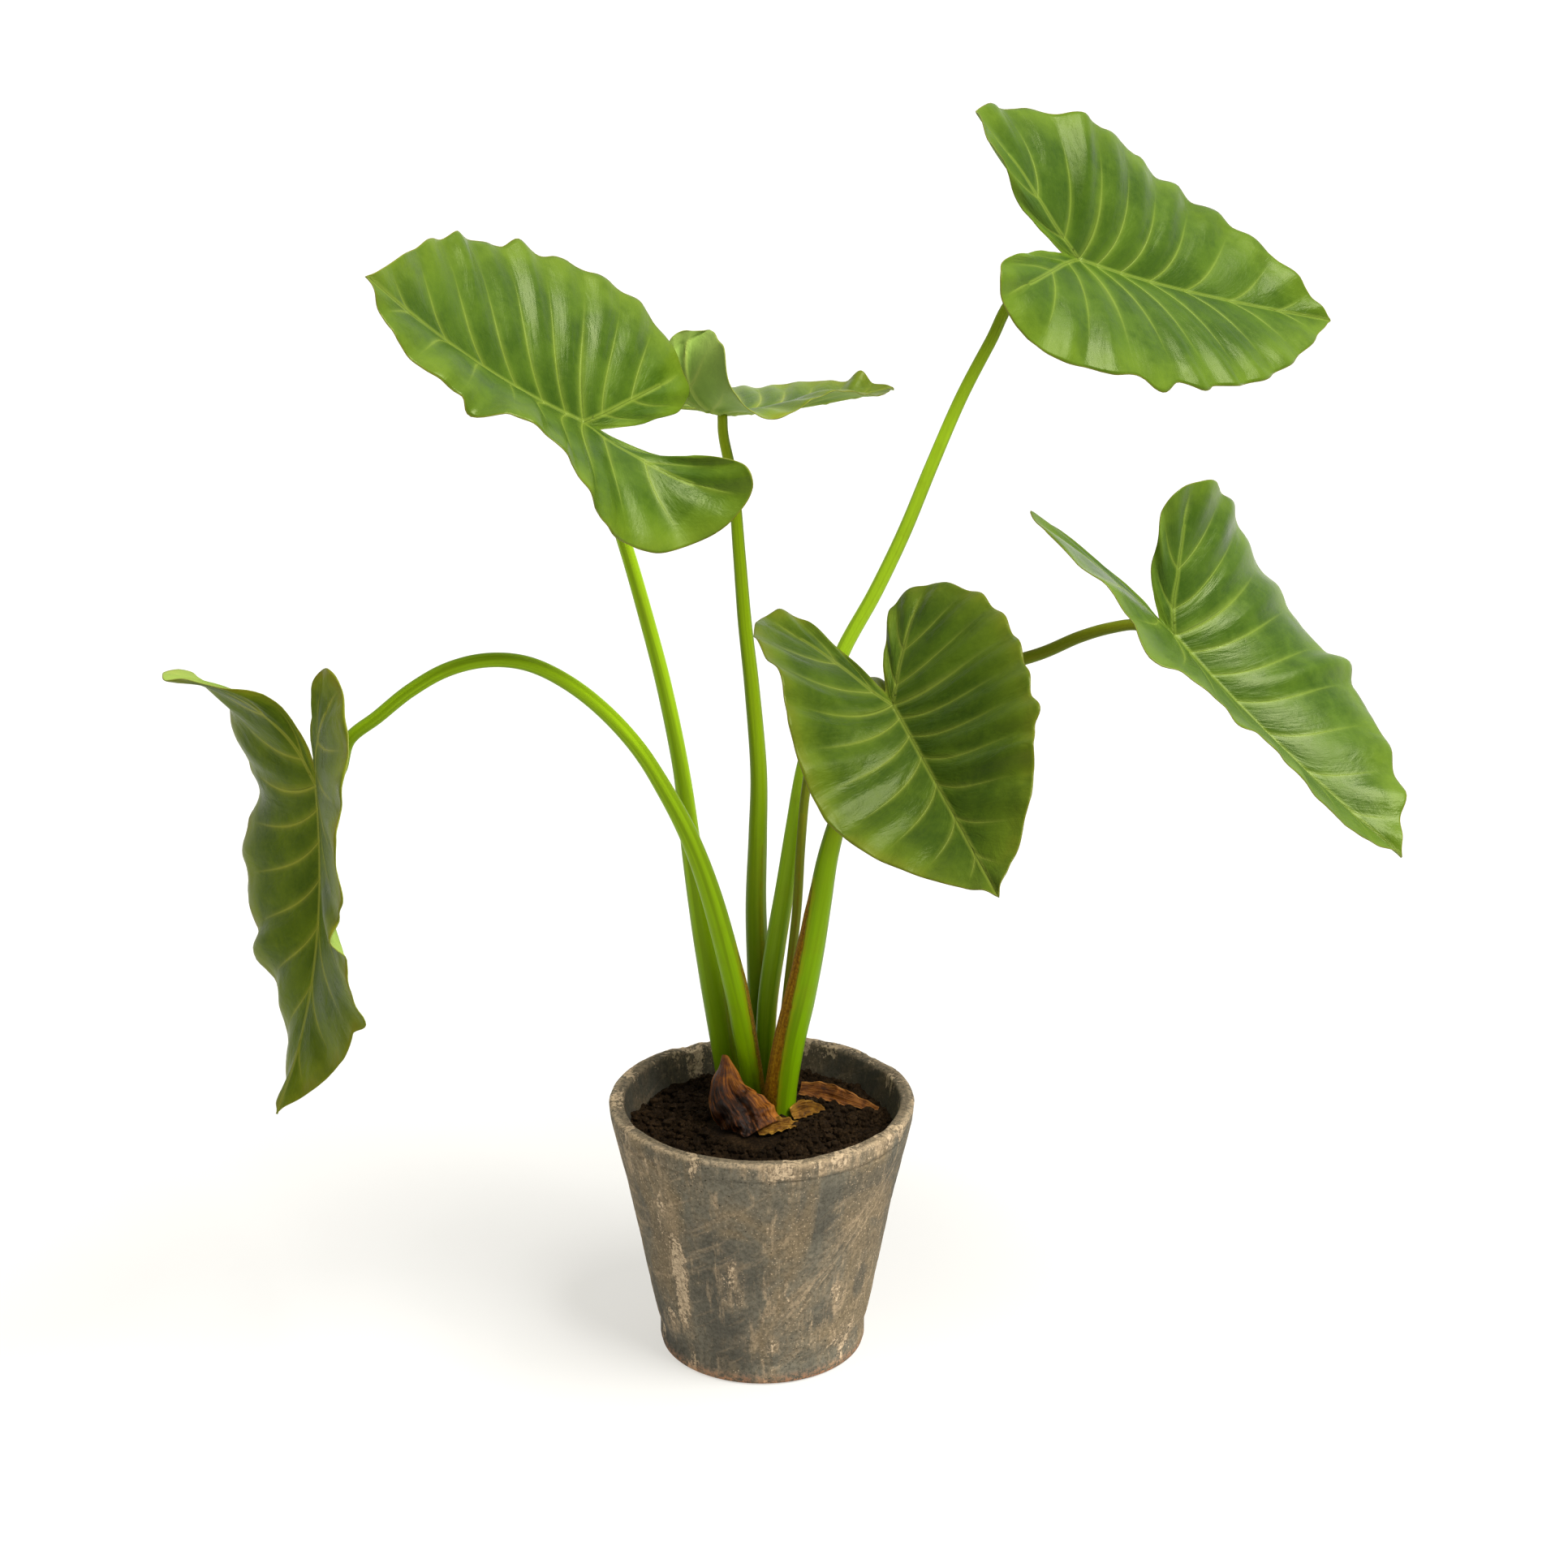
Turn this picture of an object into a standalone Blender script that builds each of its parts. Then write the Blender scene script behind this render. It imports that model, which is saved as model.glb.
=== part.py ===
"""Potted alocasia: a clay pot, its soil, six leaf stalks with their blades, and three dried sheaths.

Metres, +Z up, origin at the middle of the pot's base. The front of the plant faces -Y.
"""
import math

import bmesh
import bpy
import numpy as np

COLLECTION = "potted_alocasia"
GAP = 0.0003            # clearance between neighbouring solids
MERGE = 0.00005
SMOOTH_ANGLE = 50

# Pot: a thrown clay pot with a shallow collar under its rim and a short straight foot
POT_HEIGHT = 0.2625
POT_RIM_RADIUS = 0.150
POT_COLLAR_HEIGHT = 0.019
POT_COLLAR_TAPER = 0.0018
POT_GROOVE = 0.002
POT_BELLY = ((0.1325, 0.1745), (0.1220, 0.1205), (0.1122, 0.0655), (0.1068, 0.038))
POT_FOOT_RADIUS = 0.1028
POT_FOOT_HEIGHT = 0.024
POT_FOOT_EDGE = 0.0045
POT_EDGE = 0.002
POT_WALL = 0.0145
POT_FLOOR = 0.016
POT_SEGMENTS = 40

# Soil: fills the pot to a little below the rim and rises towards the stalks
SOIL_EDGE_HEIGHT = 0.231
SOIL_CROWN = 0.010
SOIL_RINGS = 7
SOIL_CLODS = ((37, 61, 0.0), (83, 29, 1.3), (52, 97, 2.1), (118, 74, 4.0))   # waves a metre in x and y, phase
SOIL_CLOD_HEIGHT = 0.0011
STALK_CLUMP = (0.004, 0.052)
CLUMP_RADIUS = 0.062
CLUMP_CORE = 0.7        # share of the clump's radius where the soil is smooth
STALK_DEPTH = 0.045     # how far each stalk stands in the soil

# Blade pattern, in midrib lengths: a half blade runs vein by vein from its tip to the notch at the stalk
MARGIN = ((0, 1.0), (0.085, 0.92), (0.197, 0.803), (0.304, 0.67), (0.384, 0.53), (0.433, 0.385), (0.463, 0.228),
          (0.475, 0.055), (0.463, -0.128), (0.416, -0.293), (0.302, -0.452), (0.185, -0.462), (0.09, -0.30),
          (0, -0.07))
MIDRIB = (1.0, 0.76, 0.59, 0.42, 0.28, 0.165, 0.07, 0.0)
LOBE_RIB = ((0, 0), (0.045, -0.07), (0.125, -0.20), (0.21, -0.33))
FORWARD_VEINS = len(MIDRIB) - 1
LOBE_VEINS = len(LOBE_RIB) - 1
VEINS = FORWARD_VEINS + 2 * LOBE_VEINS
VEIN_HOOK = 0.47       # how strongly a side vein sweeps forward beside the midrib
LOBE_BOW = 0.6          # how much less the lobe's veins bow
TIP_PINCH = (0.4, 0.05)
PATTERN_BACK = -0.5     # where the fold's first value stands; its last stands at the tip
RIB_BLEND = 0.12        # half width beside the rib where the lobe's own bend grows
ARCH_STEPS = 12
ROWS_A_VEIN = 2
COLUMNS = (0.0, 0.08, 0.32, 0.58, 0.82, 1.0)
BLADE_THICKNESS = 0.0009
VEIN_DEPTH = 0.0012
KEEL_DEPTH = 0.0045
KEEL_TIP_DEPTH = 0.0006
SCALLOP = 0.03          # how far the margin bulges out between veins, as a share of the half width
WAVE_RISE = 1.6         # how steeply a wave grows towards the margin
WAVE_CHANGE = 0.4       # how much the waves differ along the margin
WAVE_TURN = 2.4
WAVE_START = {-1: 0.0, 1: 1.7}
STRAIGHT = 0.01         # the least curl, in degrees


def half(fold, curl, lobe, width, reach, wave, dents=None, bulges=None):
    """One half of a blade. Fold: degrees up at the lobe, stalk, middle and tip. Curl: degrees its margin turns
    over a midrib length. Lobe: degrees the basal lobe bends up. Width and reach: how wide the half and how long
    its lobe is for the pattern. Wave: usual height in mm of the margin's waves. Dents: the waves between veins
    that have a height of their own."""
    return dict(fold=fold, curl=curl, lobe=lobe, width=width, reach=reach, wave=wave, dents=dents or {},
                bulges=bulges or {})


# Leaves: where the stalk meets the blade, which way the midrib heads, rises and rolls (degrees), its length,
# its arch (degrees down over its length, evenly and towards the tip), and the two halves
LEAVES = {
    "high_left": dict(
        navel=(-0.155, -0.057, 0.944), heading=212, rise=27, roll=-46, length=0.266, arch=(-28, 8),
        left=half((-18, 24, 41, -20), -59, 84, 1.02, 1.07, 4, {2: 7, 3: -14}),
        right=half((22, 25, 16, 15), -47, -5, 1.21, 0.86, 2, {3: 6, 5: 6}, {1: 1, 4: 0, 5: 6, 7: 1})),
    "back": dict(
        navel=(-0.036, 0.105, 0.922), heading=22, rise=-3, roll=-13, length=0.179, arch=(-15, 5),
        left=half((16, 23, 21, 31), -22, 0, 1.01, 1.0, 1, {1: 12}),
        right=half((74, 4, 14, -14), -38, 60, 1.01, 1.30, 1, {8: 5})),
    "high_right": dict(
        navel=(0.289, 0.057, 1.070), heading=32, rise=-20, roll=50, length=0.296, arch=(-23, 11),
        left=half((5, 33, 13, 17), -66, 37, 0.96, 1.10, 3, {4: 6, 6: 0, 7: 6, 8: -1, 9: 8}),
        right=half((-10, 22, 22, 13), -53, 31, 0.99, 0.87, 3, {0: -1, 4: 6, 6: -2}, {5: 6, 6: 9})),
    "low_right": dict(
        navel=(0.382, -0.009, 0.735), heading=-16, rise=-46, roll=42, length=0.291, arch=(-18, 2),
        left=half((45, 15, 9, 3), -109, 17, 1.22, 0.75, 4, {3: -2, 4: 11, 5: -2}, {1: 8}),
        right=half((52, 53, 57, 40), -5, -17, 1.03, 1.14, 2, {5: -5, 7: -11, 8: 6})),
    "front": dict(
        navel=(0.117, -0.153, 0.713), heading=-68, rise=-25, roll=43, length=0.243, arch=(-2, -1),
        left=half((-3, 3, 11, -1), -20, -8, 1.06, 0.96, 3, {1: -2, 3: 8}, {4: 7}),
        right=half((33, 44, 17, 21), 69, -11, 1.03, 1.24, 3, {7: 7})),
    "drooping_left": dict(
        navel=(-0.405, -0.083, 0.614), heading=34, rise=-88, roll=166, length=0.317, arch=(-19, -17),
        left=half((15, 35, 28, -4), -7, 9, 1.11, 0.91, 3, {3: -8, 5: 12, 6: -4}, {3: 6, 6: 6}),
        right=half((21, 6, 5, -47), -77, 66, 0.97, 1.12, 3, {3: 13, 6: -11, 7: 8, 11: 3})),
}

# Stalks: the points they run through from the soil up, then half widths (m) at the foot, above the sheath,
# half-way and under the blade, and how deep the sheath's channel is at the foot, as a share of the radius
STALKS = {
    "high_left": dict(
        route=((-0.033, 0.070, 0.244), (-0.045, 0.069, 0.329), (-0.058, 0.066, 0.417), (-0.068, 0.061, 0.496),
               (-0.077, 0.053, 0.582), (-0.091, 0.041, 0.667), (-0.107, 0.026, 0.743), (-0.124, 0.008, 0.816),
               (-0.140, -0.016, 0.876)),
        radii=(0.0145, 0.0134, 0.0080, 0.0058), channel=0.30),
    "back": dict(
        route=((-0.002, 0.088, 0.240), (-0.003, 0.088, 0.334), (-0.006, 0.088, 0.426), (-0.004, 0.088, 0.503),
               (-0.003, 0.089, 0.570), (-0.009, 0.091, 0.652), (-0.016, 0.093, 0.721), (-0.021, 0.097, 0.788),
               (-0.026, 0.101, 0.850)),
        radii=(0.0100, 0.0118, 0.0084, 0.0048), channel=0.25),
    "high_right": dict(
        route=((0.002, 0.064, 0.246), (0.005, 0.064, 0.331), (0.013, 0.064, 0.396), (0.023, 0.064, 0.459),
               (0.032, 0.065, 0.520), (0.042, 0.066, 0.582), (0.059, 0.067, 0.645), (0.079, 0.068, 0.700),
               (0.108, 0.069, 0.755), (0.135, 0.070, 0.814), (0.160, 0.071, 0.878), (0.186, 0.072, 0.941),
               (0.212, 0.073, 0.993), (0.232, 0.072, 1.032)),
        radii=(0.0093, 0.0100, 0.0075, 0.0050), channel=0.25),
    "low_right": dict(
        route=((0.018, 0.014, 0.257), (0.026, 0.014, 0.311), (0.037, 0.013, 0.362), (0.047, 0.013, 0.410),
               (0.056, 0.013, 0.462), (0.065, 0.013, 0.514), (0.080, 0.013, 0.565), (0.106, 0.013, 0.612),
               (0.141, 0.013, 0.649), (0.180, 0.013, 0.678), (0.221, 0.013, 0.698), (0.263, 0.013, 0.712),
               (0.296, 0.013, 0.727), (0.325, 0.013, 0.736), (0.351, 0.012, 0.739)),
        radii=(0.0168, 0.0156, 0.0076, 0.0050), channel=0.35),
    "front": dict(
        route=((0.014, 0.046, 0.245), (0.024, 0.046, 0.344), (0.034, 0.046, 0.438), (0.038, 0.046, 0.508),
               (0.043, 0.044, 0.567), (0.053, 0.033, 0.624), (0.072, 0.004, 0.671), (0.093, -0.044, 0.699),
               (0.109, -0.092, 0.713)),
        radii=(0.0048, 0.0048, 0.0046, 0.0044), channel=0.15),
    "drooping_left": dict(
        route=((-0.008, 0.042, 0.252), (-0.021, 0.038, 0.338), (-0.036, 0.033, 0.411), (-0.052, 0.027, 0.475),
               (-0.070, 0.021, 0.529), (-0.091, 0.013, 0.576), (-0.115, 0.003, 0.621), (-0.145, -0.008, 0.661),
               (-0.178, -0.020, 0.693), (-0.213, -0.033, 0.715), (-0.249, -0.045, 0.722), (-0.285, -0.056, 0.716),
               (-0.318, -0.066, 0.699), (-0.347, -0.074, 0.677), (-0.373, -0.079, 0.657)),
        radii=(0.0130, 0.0122, 0.0078, 0.0058), channel=0.32),
}
STALK_SIDES = 10
STALK_RINGS = 24
HOLE_RINGS = 4          # rings of a stalk that its hole in the soil is cut from
SHEATH_END = 0.22       # height above the soil where a stalk's sheath has closed
SHEATH_FLAT = 0.12      # how much thinner a stalk is front to back at its foot
CHANNEL_ANGLE = 0.7     # half angle of the sheath's channel, radians
RADIUS_PLACES = (0.0, 0.2, 0.5, 1.0)
JOINT_LEAD = 0.020      # length of the stalk's last stretch, which turns to the blade's underside

# Dried sheaths: the points of their midline (x, y, height above the soil), the way they spread, half widths
# along them, how their sides cup
SHEATHS = {
    "dried_sheath_large": dict(
        midline=((-0.006, -0.034, 0.0), (-0.017, -0.024, 0.014), (-0.033, -0.006, 0.032), (-0.036, 0.022, 0.058)),
        across=(0.97, -0.15, 0.0), widths=(0.027, 0.028, 0.021, 0.003), cup=-0.95, frill=0.0018),
    "dried_sheath_tongue": dict(
        midline=((0.029, -0.003, 0.005), (0.039, 0.006, 0.007), (0.049, 0.016, 0.005), (0.062, 0.025, 0.001)),
        across=(-0.30, 0.40, 0.87), widths=(0.006, 0.009, 0.007, 0.002), cup=0.25, frill=0.0012),
    "dried_sheath_strip": dict(
        midline=((0.038, 0.067, 0.004), (0.063, 0.058, 0.006), (0.087, 0.042, 0.005), (0.116, 0.035, 0.001)),
        across=(0.15, 0.80, 0.55), widths=(0.008, 0.010, 0.008, 0.003), cup=0.20, frill=0.0012),
}
SHEATH_ROWS = 9
SHEATH_COLUMNS = 6
SHEATH_THICKNESS = 0.0008
SHEATH_FRILLS = 3.5
SHEATH_REST = 0.0007    # how far a dried sheath lies above the soil

COLOURS = {
    "pot": (0.150, 0.128, 0.098, 1.0), "soil": (0.024, 0.016, 0.011, 1.0), "blade": (0.090, 0.235, 0.040, 1.0),
    "stalk": (0.200, 0.420, 0.012, 1.0), "sheath": (0.210, 0.062, 0.016, 1.0),
}
ROUGHNESS = {"pot": 0.85, "soil": 0.95, "blade": 0.42, "stalk": 0.40, "sheath": 0.80}


def through(points, place):
    """A smooth curve through the points, read at each place from 0 to 1."""
    points = np.asarray(points, float)
    points = points.reshape(len(points), -1)
    last = len(points) - 1
    span = np.clip(place, 0, 1) * last
    start = np.minimum(span.astype(int), last - 1)
    f = (span - start)[..., None]
    before, here, there, after = (points[np.clip(start + k, 0, last)] for k in (-1, 0, 1, 2))
    before = np.where((start == 0)[..., None], 2 * here - there, before)
    after = np.where((start == last - 1)[..., None], 2 * there - here, after)
    bend = 2 * before - 5 * here + 4 * there - after + f * (3 * (here - there) + after - before)
    return here + 0.5 * f * (there - before + f * bend)


def smoothstep(value):
    value = np.clip(value, 0, 1)
    return value * value * (3 - 2 * value)


def unit(vector):
    vector = np.asarray(vector, float)
    return vector / np.linalg.norm(vector, axis=-1, keepdims=True)


def new_material(name):
    material = bpy.data.materials.new(name)
    material.use_nodes = True
    shader = material.node_tree.nodes["Principled BSDF"]
    shader.inputs["Base Color"].default_value = COLOURS[name]
    shader.inputs["Roughness"].default_value = ROUGHNESS[name]
    shader.inputs["Metallic"].default_value = 0.0
    return material


def new_object(name, vertices, faces, collection, material=None):
    mesh = bpy.data.meshes.new(name)
    mesh.from_pydata([tuple(v) for v in vertices], [], faces)
    mesh.validate()
    shape = bmesh.new()
    shape.from_mesh(mesh)
    bmesh.ops.recalc_face_normals(shape, faces=shape.faces)
    shape.to_mesh(mesh)
    shape.free()
    mesh.shade_smooth()
    mesh.set_sharp_from_angle(angle=math.radians(SMOOTH_ANGLE))
    item = bpy.data.objects.new(name, mesh)
    if material is not None:
        mesh.materials.append(material)
    collection.objects.link(item)
    return item


def turned(name, profile, collection, material):
    """A solid turned about Z from a profile of (radius, height) points that starts and ends on the axis."""
    mesh = bpy.data.meshes.new(name)
    mesh.from_pydata([(r, 0, z) for r, z in profile], [(k, k + 1) for k in range(len(profile) - 1)], [])
    item = bpy.data.objects.new(name, mesh)
    collection.objects.link(item)
    screw = item.modifiers.new("turn", "SCREW")
    screw.steps = POT_SEGMENTS
    screw.render_steps = POT_SEGMENTS
    screw.use_merge_vertices = True
    screw.merge_threshold = MERGE
    screw.use_smooth_shade = True
    mesh.materials.append(material)
    return item


def slab(name, top, under, triangles, collection, material):
    """A thin closed solid: two faces split into triangles alike, and a wall round their border."""
    count = len(top)
    faces = list(triangles) + [tuple(v + count for v in face[::-1]) for face in triangles]
    edges = [(face[k], face[(k + 1) % 3]) for face in triangles for k in range(3)]
    present = set(edges)
    for a, b in edges:
        if (b, a) not in present:
            faces += [(b, a, a + count), (b, a + count, b + count)]
    return new_object(name, np.vstack([top, under]), faces, collection, material)


def grid_triangles(index):
    """Two triangles for each cell of a grid of point numbers, without the empty ones."""
    triangles = []
    for i in range(len(index) - 1):
        for j in range(len(index[0]) - 1):
            a, b, c, d = (int(v) for v in (index[i][j], index[i + 1][j], index[i + 1][j + 1], index[i][j + 1]))
            triangles += [face for face in ((a, b, c), (a, c, d)) if len(set(face)) == 3]
    return triangles


def belly_profile():
    """The pot's outside below its collar, from the groove down to the foot."""
    top = POT_HEIGHT - POT_COLLAR_HEIGHT
    return [(POT_RIM_RADIUS - POT_COLLAR_TAPER - POT_GROOVE / 2, top - POT_EDGE)] + list(POT_BELLY) + [
        (POT_FOOT_RADIUS, POT_FOOT_HEIGHT)]


def inner_radius(height):
    radii, heights = zip(*reversed(belly_profile()))
    return float(np.interp(height, heights, radii)) - POT_WALL


def build_pot(collection):
    collar = POT_HEIGHT - POT_COLLAR_HEIGHT
    rim = POT_RIM_RADIUS
    mouth = rim - POT_WALL
    below = rim - POT_COLLAR_TAPER
    profile = [(0, POT_FLOOR), (inner_radius(POT_FLOOR), POT_FLOOR)]
    profile += [(inner_radius(z), z) for _, z in reversed(belly_profile()[:-1])]
    profile += [(mouth, POT_HEIGHT - POT_EDGE), (mouth + POT_EDGE, POT_HEIGHT)]
    profile += [(rim - POT_EDGE, POT_HEIGHT), (rim, POT_HEIGHT - POT_EDGE)]
    profile += [(below, collar + POT_EDGE), (below - POT_GROOVE, collar)]
    profile += belly_profile()
    profile += [(POT_FOOT_RADIUS, POT_FOOT_EDGE), (POT_FOOT_RADIUS - POT_FOOT_EDGE, 0), (0, 0)]
    return turned("pot", profile, collection, new_material("pot"))


def soil_height(x, y):
    """Height of the soil's surface: a low crown towards the stalks, with small clods away from them."""
    from_clump = np.hypot(x - STALK_CLUMP[0], y - STALK_CLUMP[1])
    crown = SOIL_CROWN * smoothstep(1 - np.hypot(x, y) / inner_radius(SOIL_EDGE_HEIGHT))
    clods = sum(np.sin(a * x + p) * np.cos(b * y - p) for a, b, p in SOIL_CLODS) * SOIL_CLOD_HEIGHT
    return SOIL_EDGE_HEIGHT + crown + clods * smoothstep(from_clump / CLUMP_RADIUS - CLUMP_CORE)


def build_soil(collection, cutters):
    wall = inner_radius(SOIL_EDGE_HEIGHT) - GAP
    floor = POT_FLOOR + GAP
    profile = [(wall * k / SOIL_RINGS, SOIL_EDGE_HEIGHT) for k in range(SOIL_RINGS + 1)]
    profile += [(inner_radius(z) - GAP, z) for _, z in POT_BELLY]
    profile += [(inner_radius(floor) - GAP, floor), (0, floor)]
    draft = turned("soil_draft", profile, collection, new_material("soil"))
    bpy.context.view_layer.update()
    mesh = bpy.data.meshes.new_from_object(draft.evaluated_get(bpy.context.evaluated_depsgraph_get()))
    bpy.data.objects.remove(draft)
    for vertex in mesh.vertices:
        if vertex.co.z > SOIL_EDGE_HEIGHT - GAP:
            fade = smoothstep((wall - math.hypot(vertex.co.x, vertex.co.y)) / (wall / SOIL_RINGS))
            vertex.co.z += float(fade * (soil_height(vertex.co.x, vertex.co.y) - SOIL_EDGE_HEIGHT))
    mesh.name = "soil"
    soil = bpy.data.objects.new("soil", mesh)
    collection.objects.link(soil)
    for cutter in cutters:
        hole = soil.modifiers.new("hole", "BOOLEAN")
        hole.operation = "DIFFERENCE"
        hole.object = cutter
    return soil


def pattern(along, across):
    """Flat point of half a blade in midrib lengths: along runs vein by vein, across from rib to margin."""
    vein = along * VEINS
    forward = vein <= FORWARD_VEINS
    outer = vein < FORWARD_VEINS + LOBE_VEINS
    lobe = np.where(outer, vein - FORWARD_VEINS, VEINS - vein) / LOBE_VEINS
    midrib = through(MIDRIB, vein / FORWARD_VEINS)
    rib = np.where(forward[..., None], np.concatenate([0 * midrib, midrib], -1), through(LOBE_RIB, lobe))
    margin = through(MARGIN, along)
    depth, reach = TIP_PINCH
    margin[..., 0] *= 1 - depth * np.exp((margin[..., 1] - 1) / reach)
    run = margin - rib
    aside = np.stack([-run[..., 1], run[..., 0]], -1)
    turn = np.where(outer, 1.0, -1.0) * np.where(forward, 1.0, LOBE_BOW) * smoothstep((VEINS - vein) / 2)
    bow = turn * VEIN_HOOK * across * (1 - across) ** 2
    return rib + run * across[..., None] + aside * bow[..., None]


def leaf_axes(leaf):
    """Rows: towards the blade's right, along the midrib to the tip, and out of its upper face."""
    heading, rise, roll = (math.radians(leaf[key]) for key in ("heading", "rise", "roll"))
    tip = np.array([math.cos(rise) * math.cos(heading), math.cos(rise) * math.sin(heading), math.sin(rise)])
    up = unit(np.array([0, 0, 1.0]) - tip[2] * tip)
    right = np.cross(tip, up)
    return np.stack([right * math.cos(roll) - up * math.sin(roll), tip, up * math.cos(roll) + right * math.sin(roll)])


def arch_line(y, even, late):
    """The midrib's bend: place along, height and turning angle after running y along it."""
    run = np.linspace(0, 1, ARCH_STEPS + 1) * y[..., None]
    turn = -(even[..., None] * run + late[..., None] * run * np.abs(run))
    weight = np.ones(ARCH_STEPS + 1)
    weight[[0, -1]] = 0.5
    step = y / ARCH_STEPS
    return (np.cos(turn) * weight).sum(-1) * step, (np.sin(turn) * weight).sum(-1) * step, turn[..., -1]


def wave_heights(half_blade, side):
    """Height in metres of the wave between each pair of veins."""
    turns = np.arange(VEINS) * WAVE_TURN + WAVE_START[side]
    heights = half_blade["wave"] * (1 + WAVE_CHANGE * np.sin(turns))
    for place, height in half_blade["dents"].items():
        heights[place] = height
    return heights / 1000


def scallops(half_blade):
    """How far the margin bulges out between each pair of veins, as a share of the half's width there."""
    shares = np.full(VEINS, SCALLOP)
    for place, percent in half_blade["bulges"].items():
        shares[place] = percent / 100
    return shares


def blade_surface(leaf, along, across, side):
    """Upper face of half a blade in space; side is -1 for its left half and 1 for its right."""
    part = leaf["left" if side < 0 else "right"]
    vein = along * VEINS
    between = np.minimum(vein.astype(int), VEINS - 1)
    swell = np.sin(math.pi * (vein - between)) ** 2
    flat = pattern(along, across * (1 + scallops(part)[between] * swell * across))
    x, y = flat[..., 0], flat[..., 1]
    lift = wave_heights(part, side)[between] / leaf["length"] * swell * across ** WAVE_RISE
    aside = smoothstep(x / RIB_BLEND)
    y = np.where(y < 0, y * (1 + (part["reach"] - 1) * aside), y)
    x = x * part["width"]
    fold = np.radians(through(part["fold"], (y - PATTERN_BACK) / (1 - PATTERN_BACK))[..., 0])
    curl = math.radians(part["curl"] or STRAIGHT)
    end = fold + curl * x
    out = (np.sin(end) - np.sin(fold)) / curl - np.sin(end) * lift
    up = (np.cos(fold) - np.cos(end)) / curl + np.cos(end) * lift
    even = np.where(y < 0, -2 * math.radians(part["lobe"]) * aside, math.radians(leaf["arch"][0]))
    late = np.where(y < 0, 0.0, math.radians(leaf["arch"][1]))
    ahead, height, turn = arch_line(y, even, late)
    local = np.stack([side * out, ahead - np.sin(turn) * up, height + np.cos(turn) * up], -1)
    return np.array(leaf["navel"]) + local * leaf["length"] @ leaf_axes(leaf)


def blade_thickness(along, across):
    """Thicker over the ribs, which stand out of the underside."""
    vein = along * VEINS
    off = np.abs(vein - np.round(vein))
    ridge = VEIN_DEPTH * (1 - across) * np.clip(1 - 2 * off, 0, 1)
    from_tip = np.where(vein < FORWARD_VEINS, vein / FORWARD_VEINS,
                        np.abs(vein - FORWARD_VEINS - LOBE_VEINS) / LOBE_VEINS)
    keel = KEEL_TIP_DEPTH + (KEEL_DEPTH - KEEL_TIP_DEPTH) * from_tip
    return BLADE_THICKNESS + np.where(across == 0, keel, ridge)


def build_blade(name, leaf, collection, material):
    """A closed waved blade, its two halves joined along the midrib."""
    numbers, top, thickness, triangles = {}, [], [], []
    rows = VEINS * ROWS_A_VEIN + 1
    along, across = np.meshgrid(np.arange(rows) / (rows - 1), np.array(COLUMNS), indexing="ij")
    thick = blade_thickness(along, across)
    flat = pattern(along, across)
    for side in (-1, 1):
        place = blade_surface(leaf, along, across, side)
        index = np.empty(along.shape, int)
        for i, j in np.ndindex(along.shape):
            key = (round(float(flat[i, j, 0]) * side, 6) + 0.0, round(float(flat[i, j, 1]), 6))
            if key not in numbers:
                numbers[key] = len(top)
                top.append(place[i, j])
                thickness.append(thick[i, j])
            index[i, j] = numbers[key]
        triangles += [face if side > 0 else face[::-1] for face in grid_triangles(index)]
    top = np.array(top)
    corners = np.array(triangles)
    facing = np.cross(top[corners[:, 1]] - top[corners[:, 0]], top[corners[:, 2]] - top[corners[:, 0]])
    normals = np.zeros_like(top)
    for k in range(3):
        np.add.at(normals, corners[:, k], facing)
    normals = unit(normals)
    if (normals @ leaf_axes(leaf)[2]).mean() < 0:
        triangles = [face[::-1] for face in triangles]
        normals = -normals
    under = top - normals * np.array(thickness)[:, None]
    return slab(name, top, under, triangles, collection, material)


def navel_normal(leaf):
    """Out of the upper face where the stalk joins, half-way between the folds of the two halves."""
    right, _, up = leaf_axes(leaf)
    folds = [math.radians(leaf[key]["fold"][1]) for key in ("left", "right")]
    lean = (folds[0] - folds[1]) / 2
    return unit(up * math.cos(lean) + right * math.sin(lean))


def stalk_line(leaf, stalk):
    """Route points of a stalk, from its foot in the soil to just under its blade."""
    normal = navel_normal(leaf)
    route = np.array(stalk["route"])
    foot = route[0] - np.array([0, 0, STALK_DEPTH])
    under = np.array(leaf["navel"]) - normal * (BLADE_THICKNESS + KEEL_DEPTH + GAP)
    approach = unit(unit(under - route[-1]) + normal)
    return np.vstack([foot, route, under - approach * JOINT_LEAD, under])


def ring_places(points):
    """Places of a stalk's rings on its smooth curve: evenly along its length, then close at the joint."""
    joint = 1 - 1 / (len(points) - 1)
    fine = np.linspace(0, joint, len(points) * 20)
    run = np.concatenate([[0], np.cumsum(np.linalg.norm(np.diff(through(points, fine), axis=0), axis=1))])
    even = np.interp(np.linspace(0, run[-1], STALK_RINGS - 2), run, fine)
    return np.concatenate([even, [(1 + joint) / 2, 1]])


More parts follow.
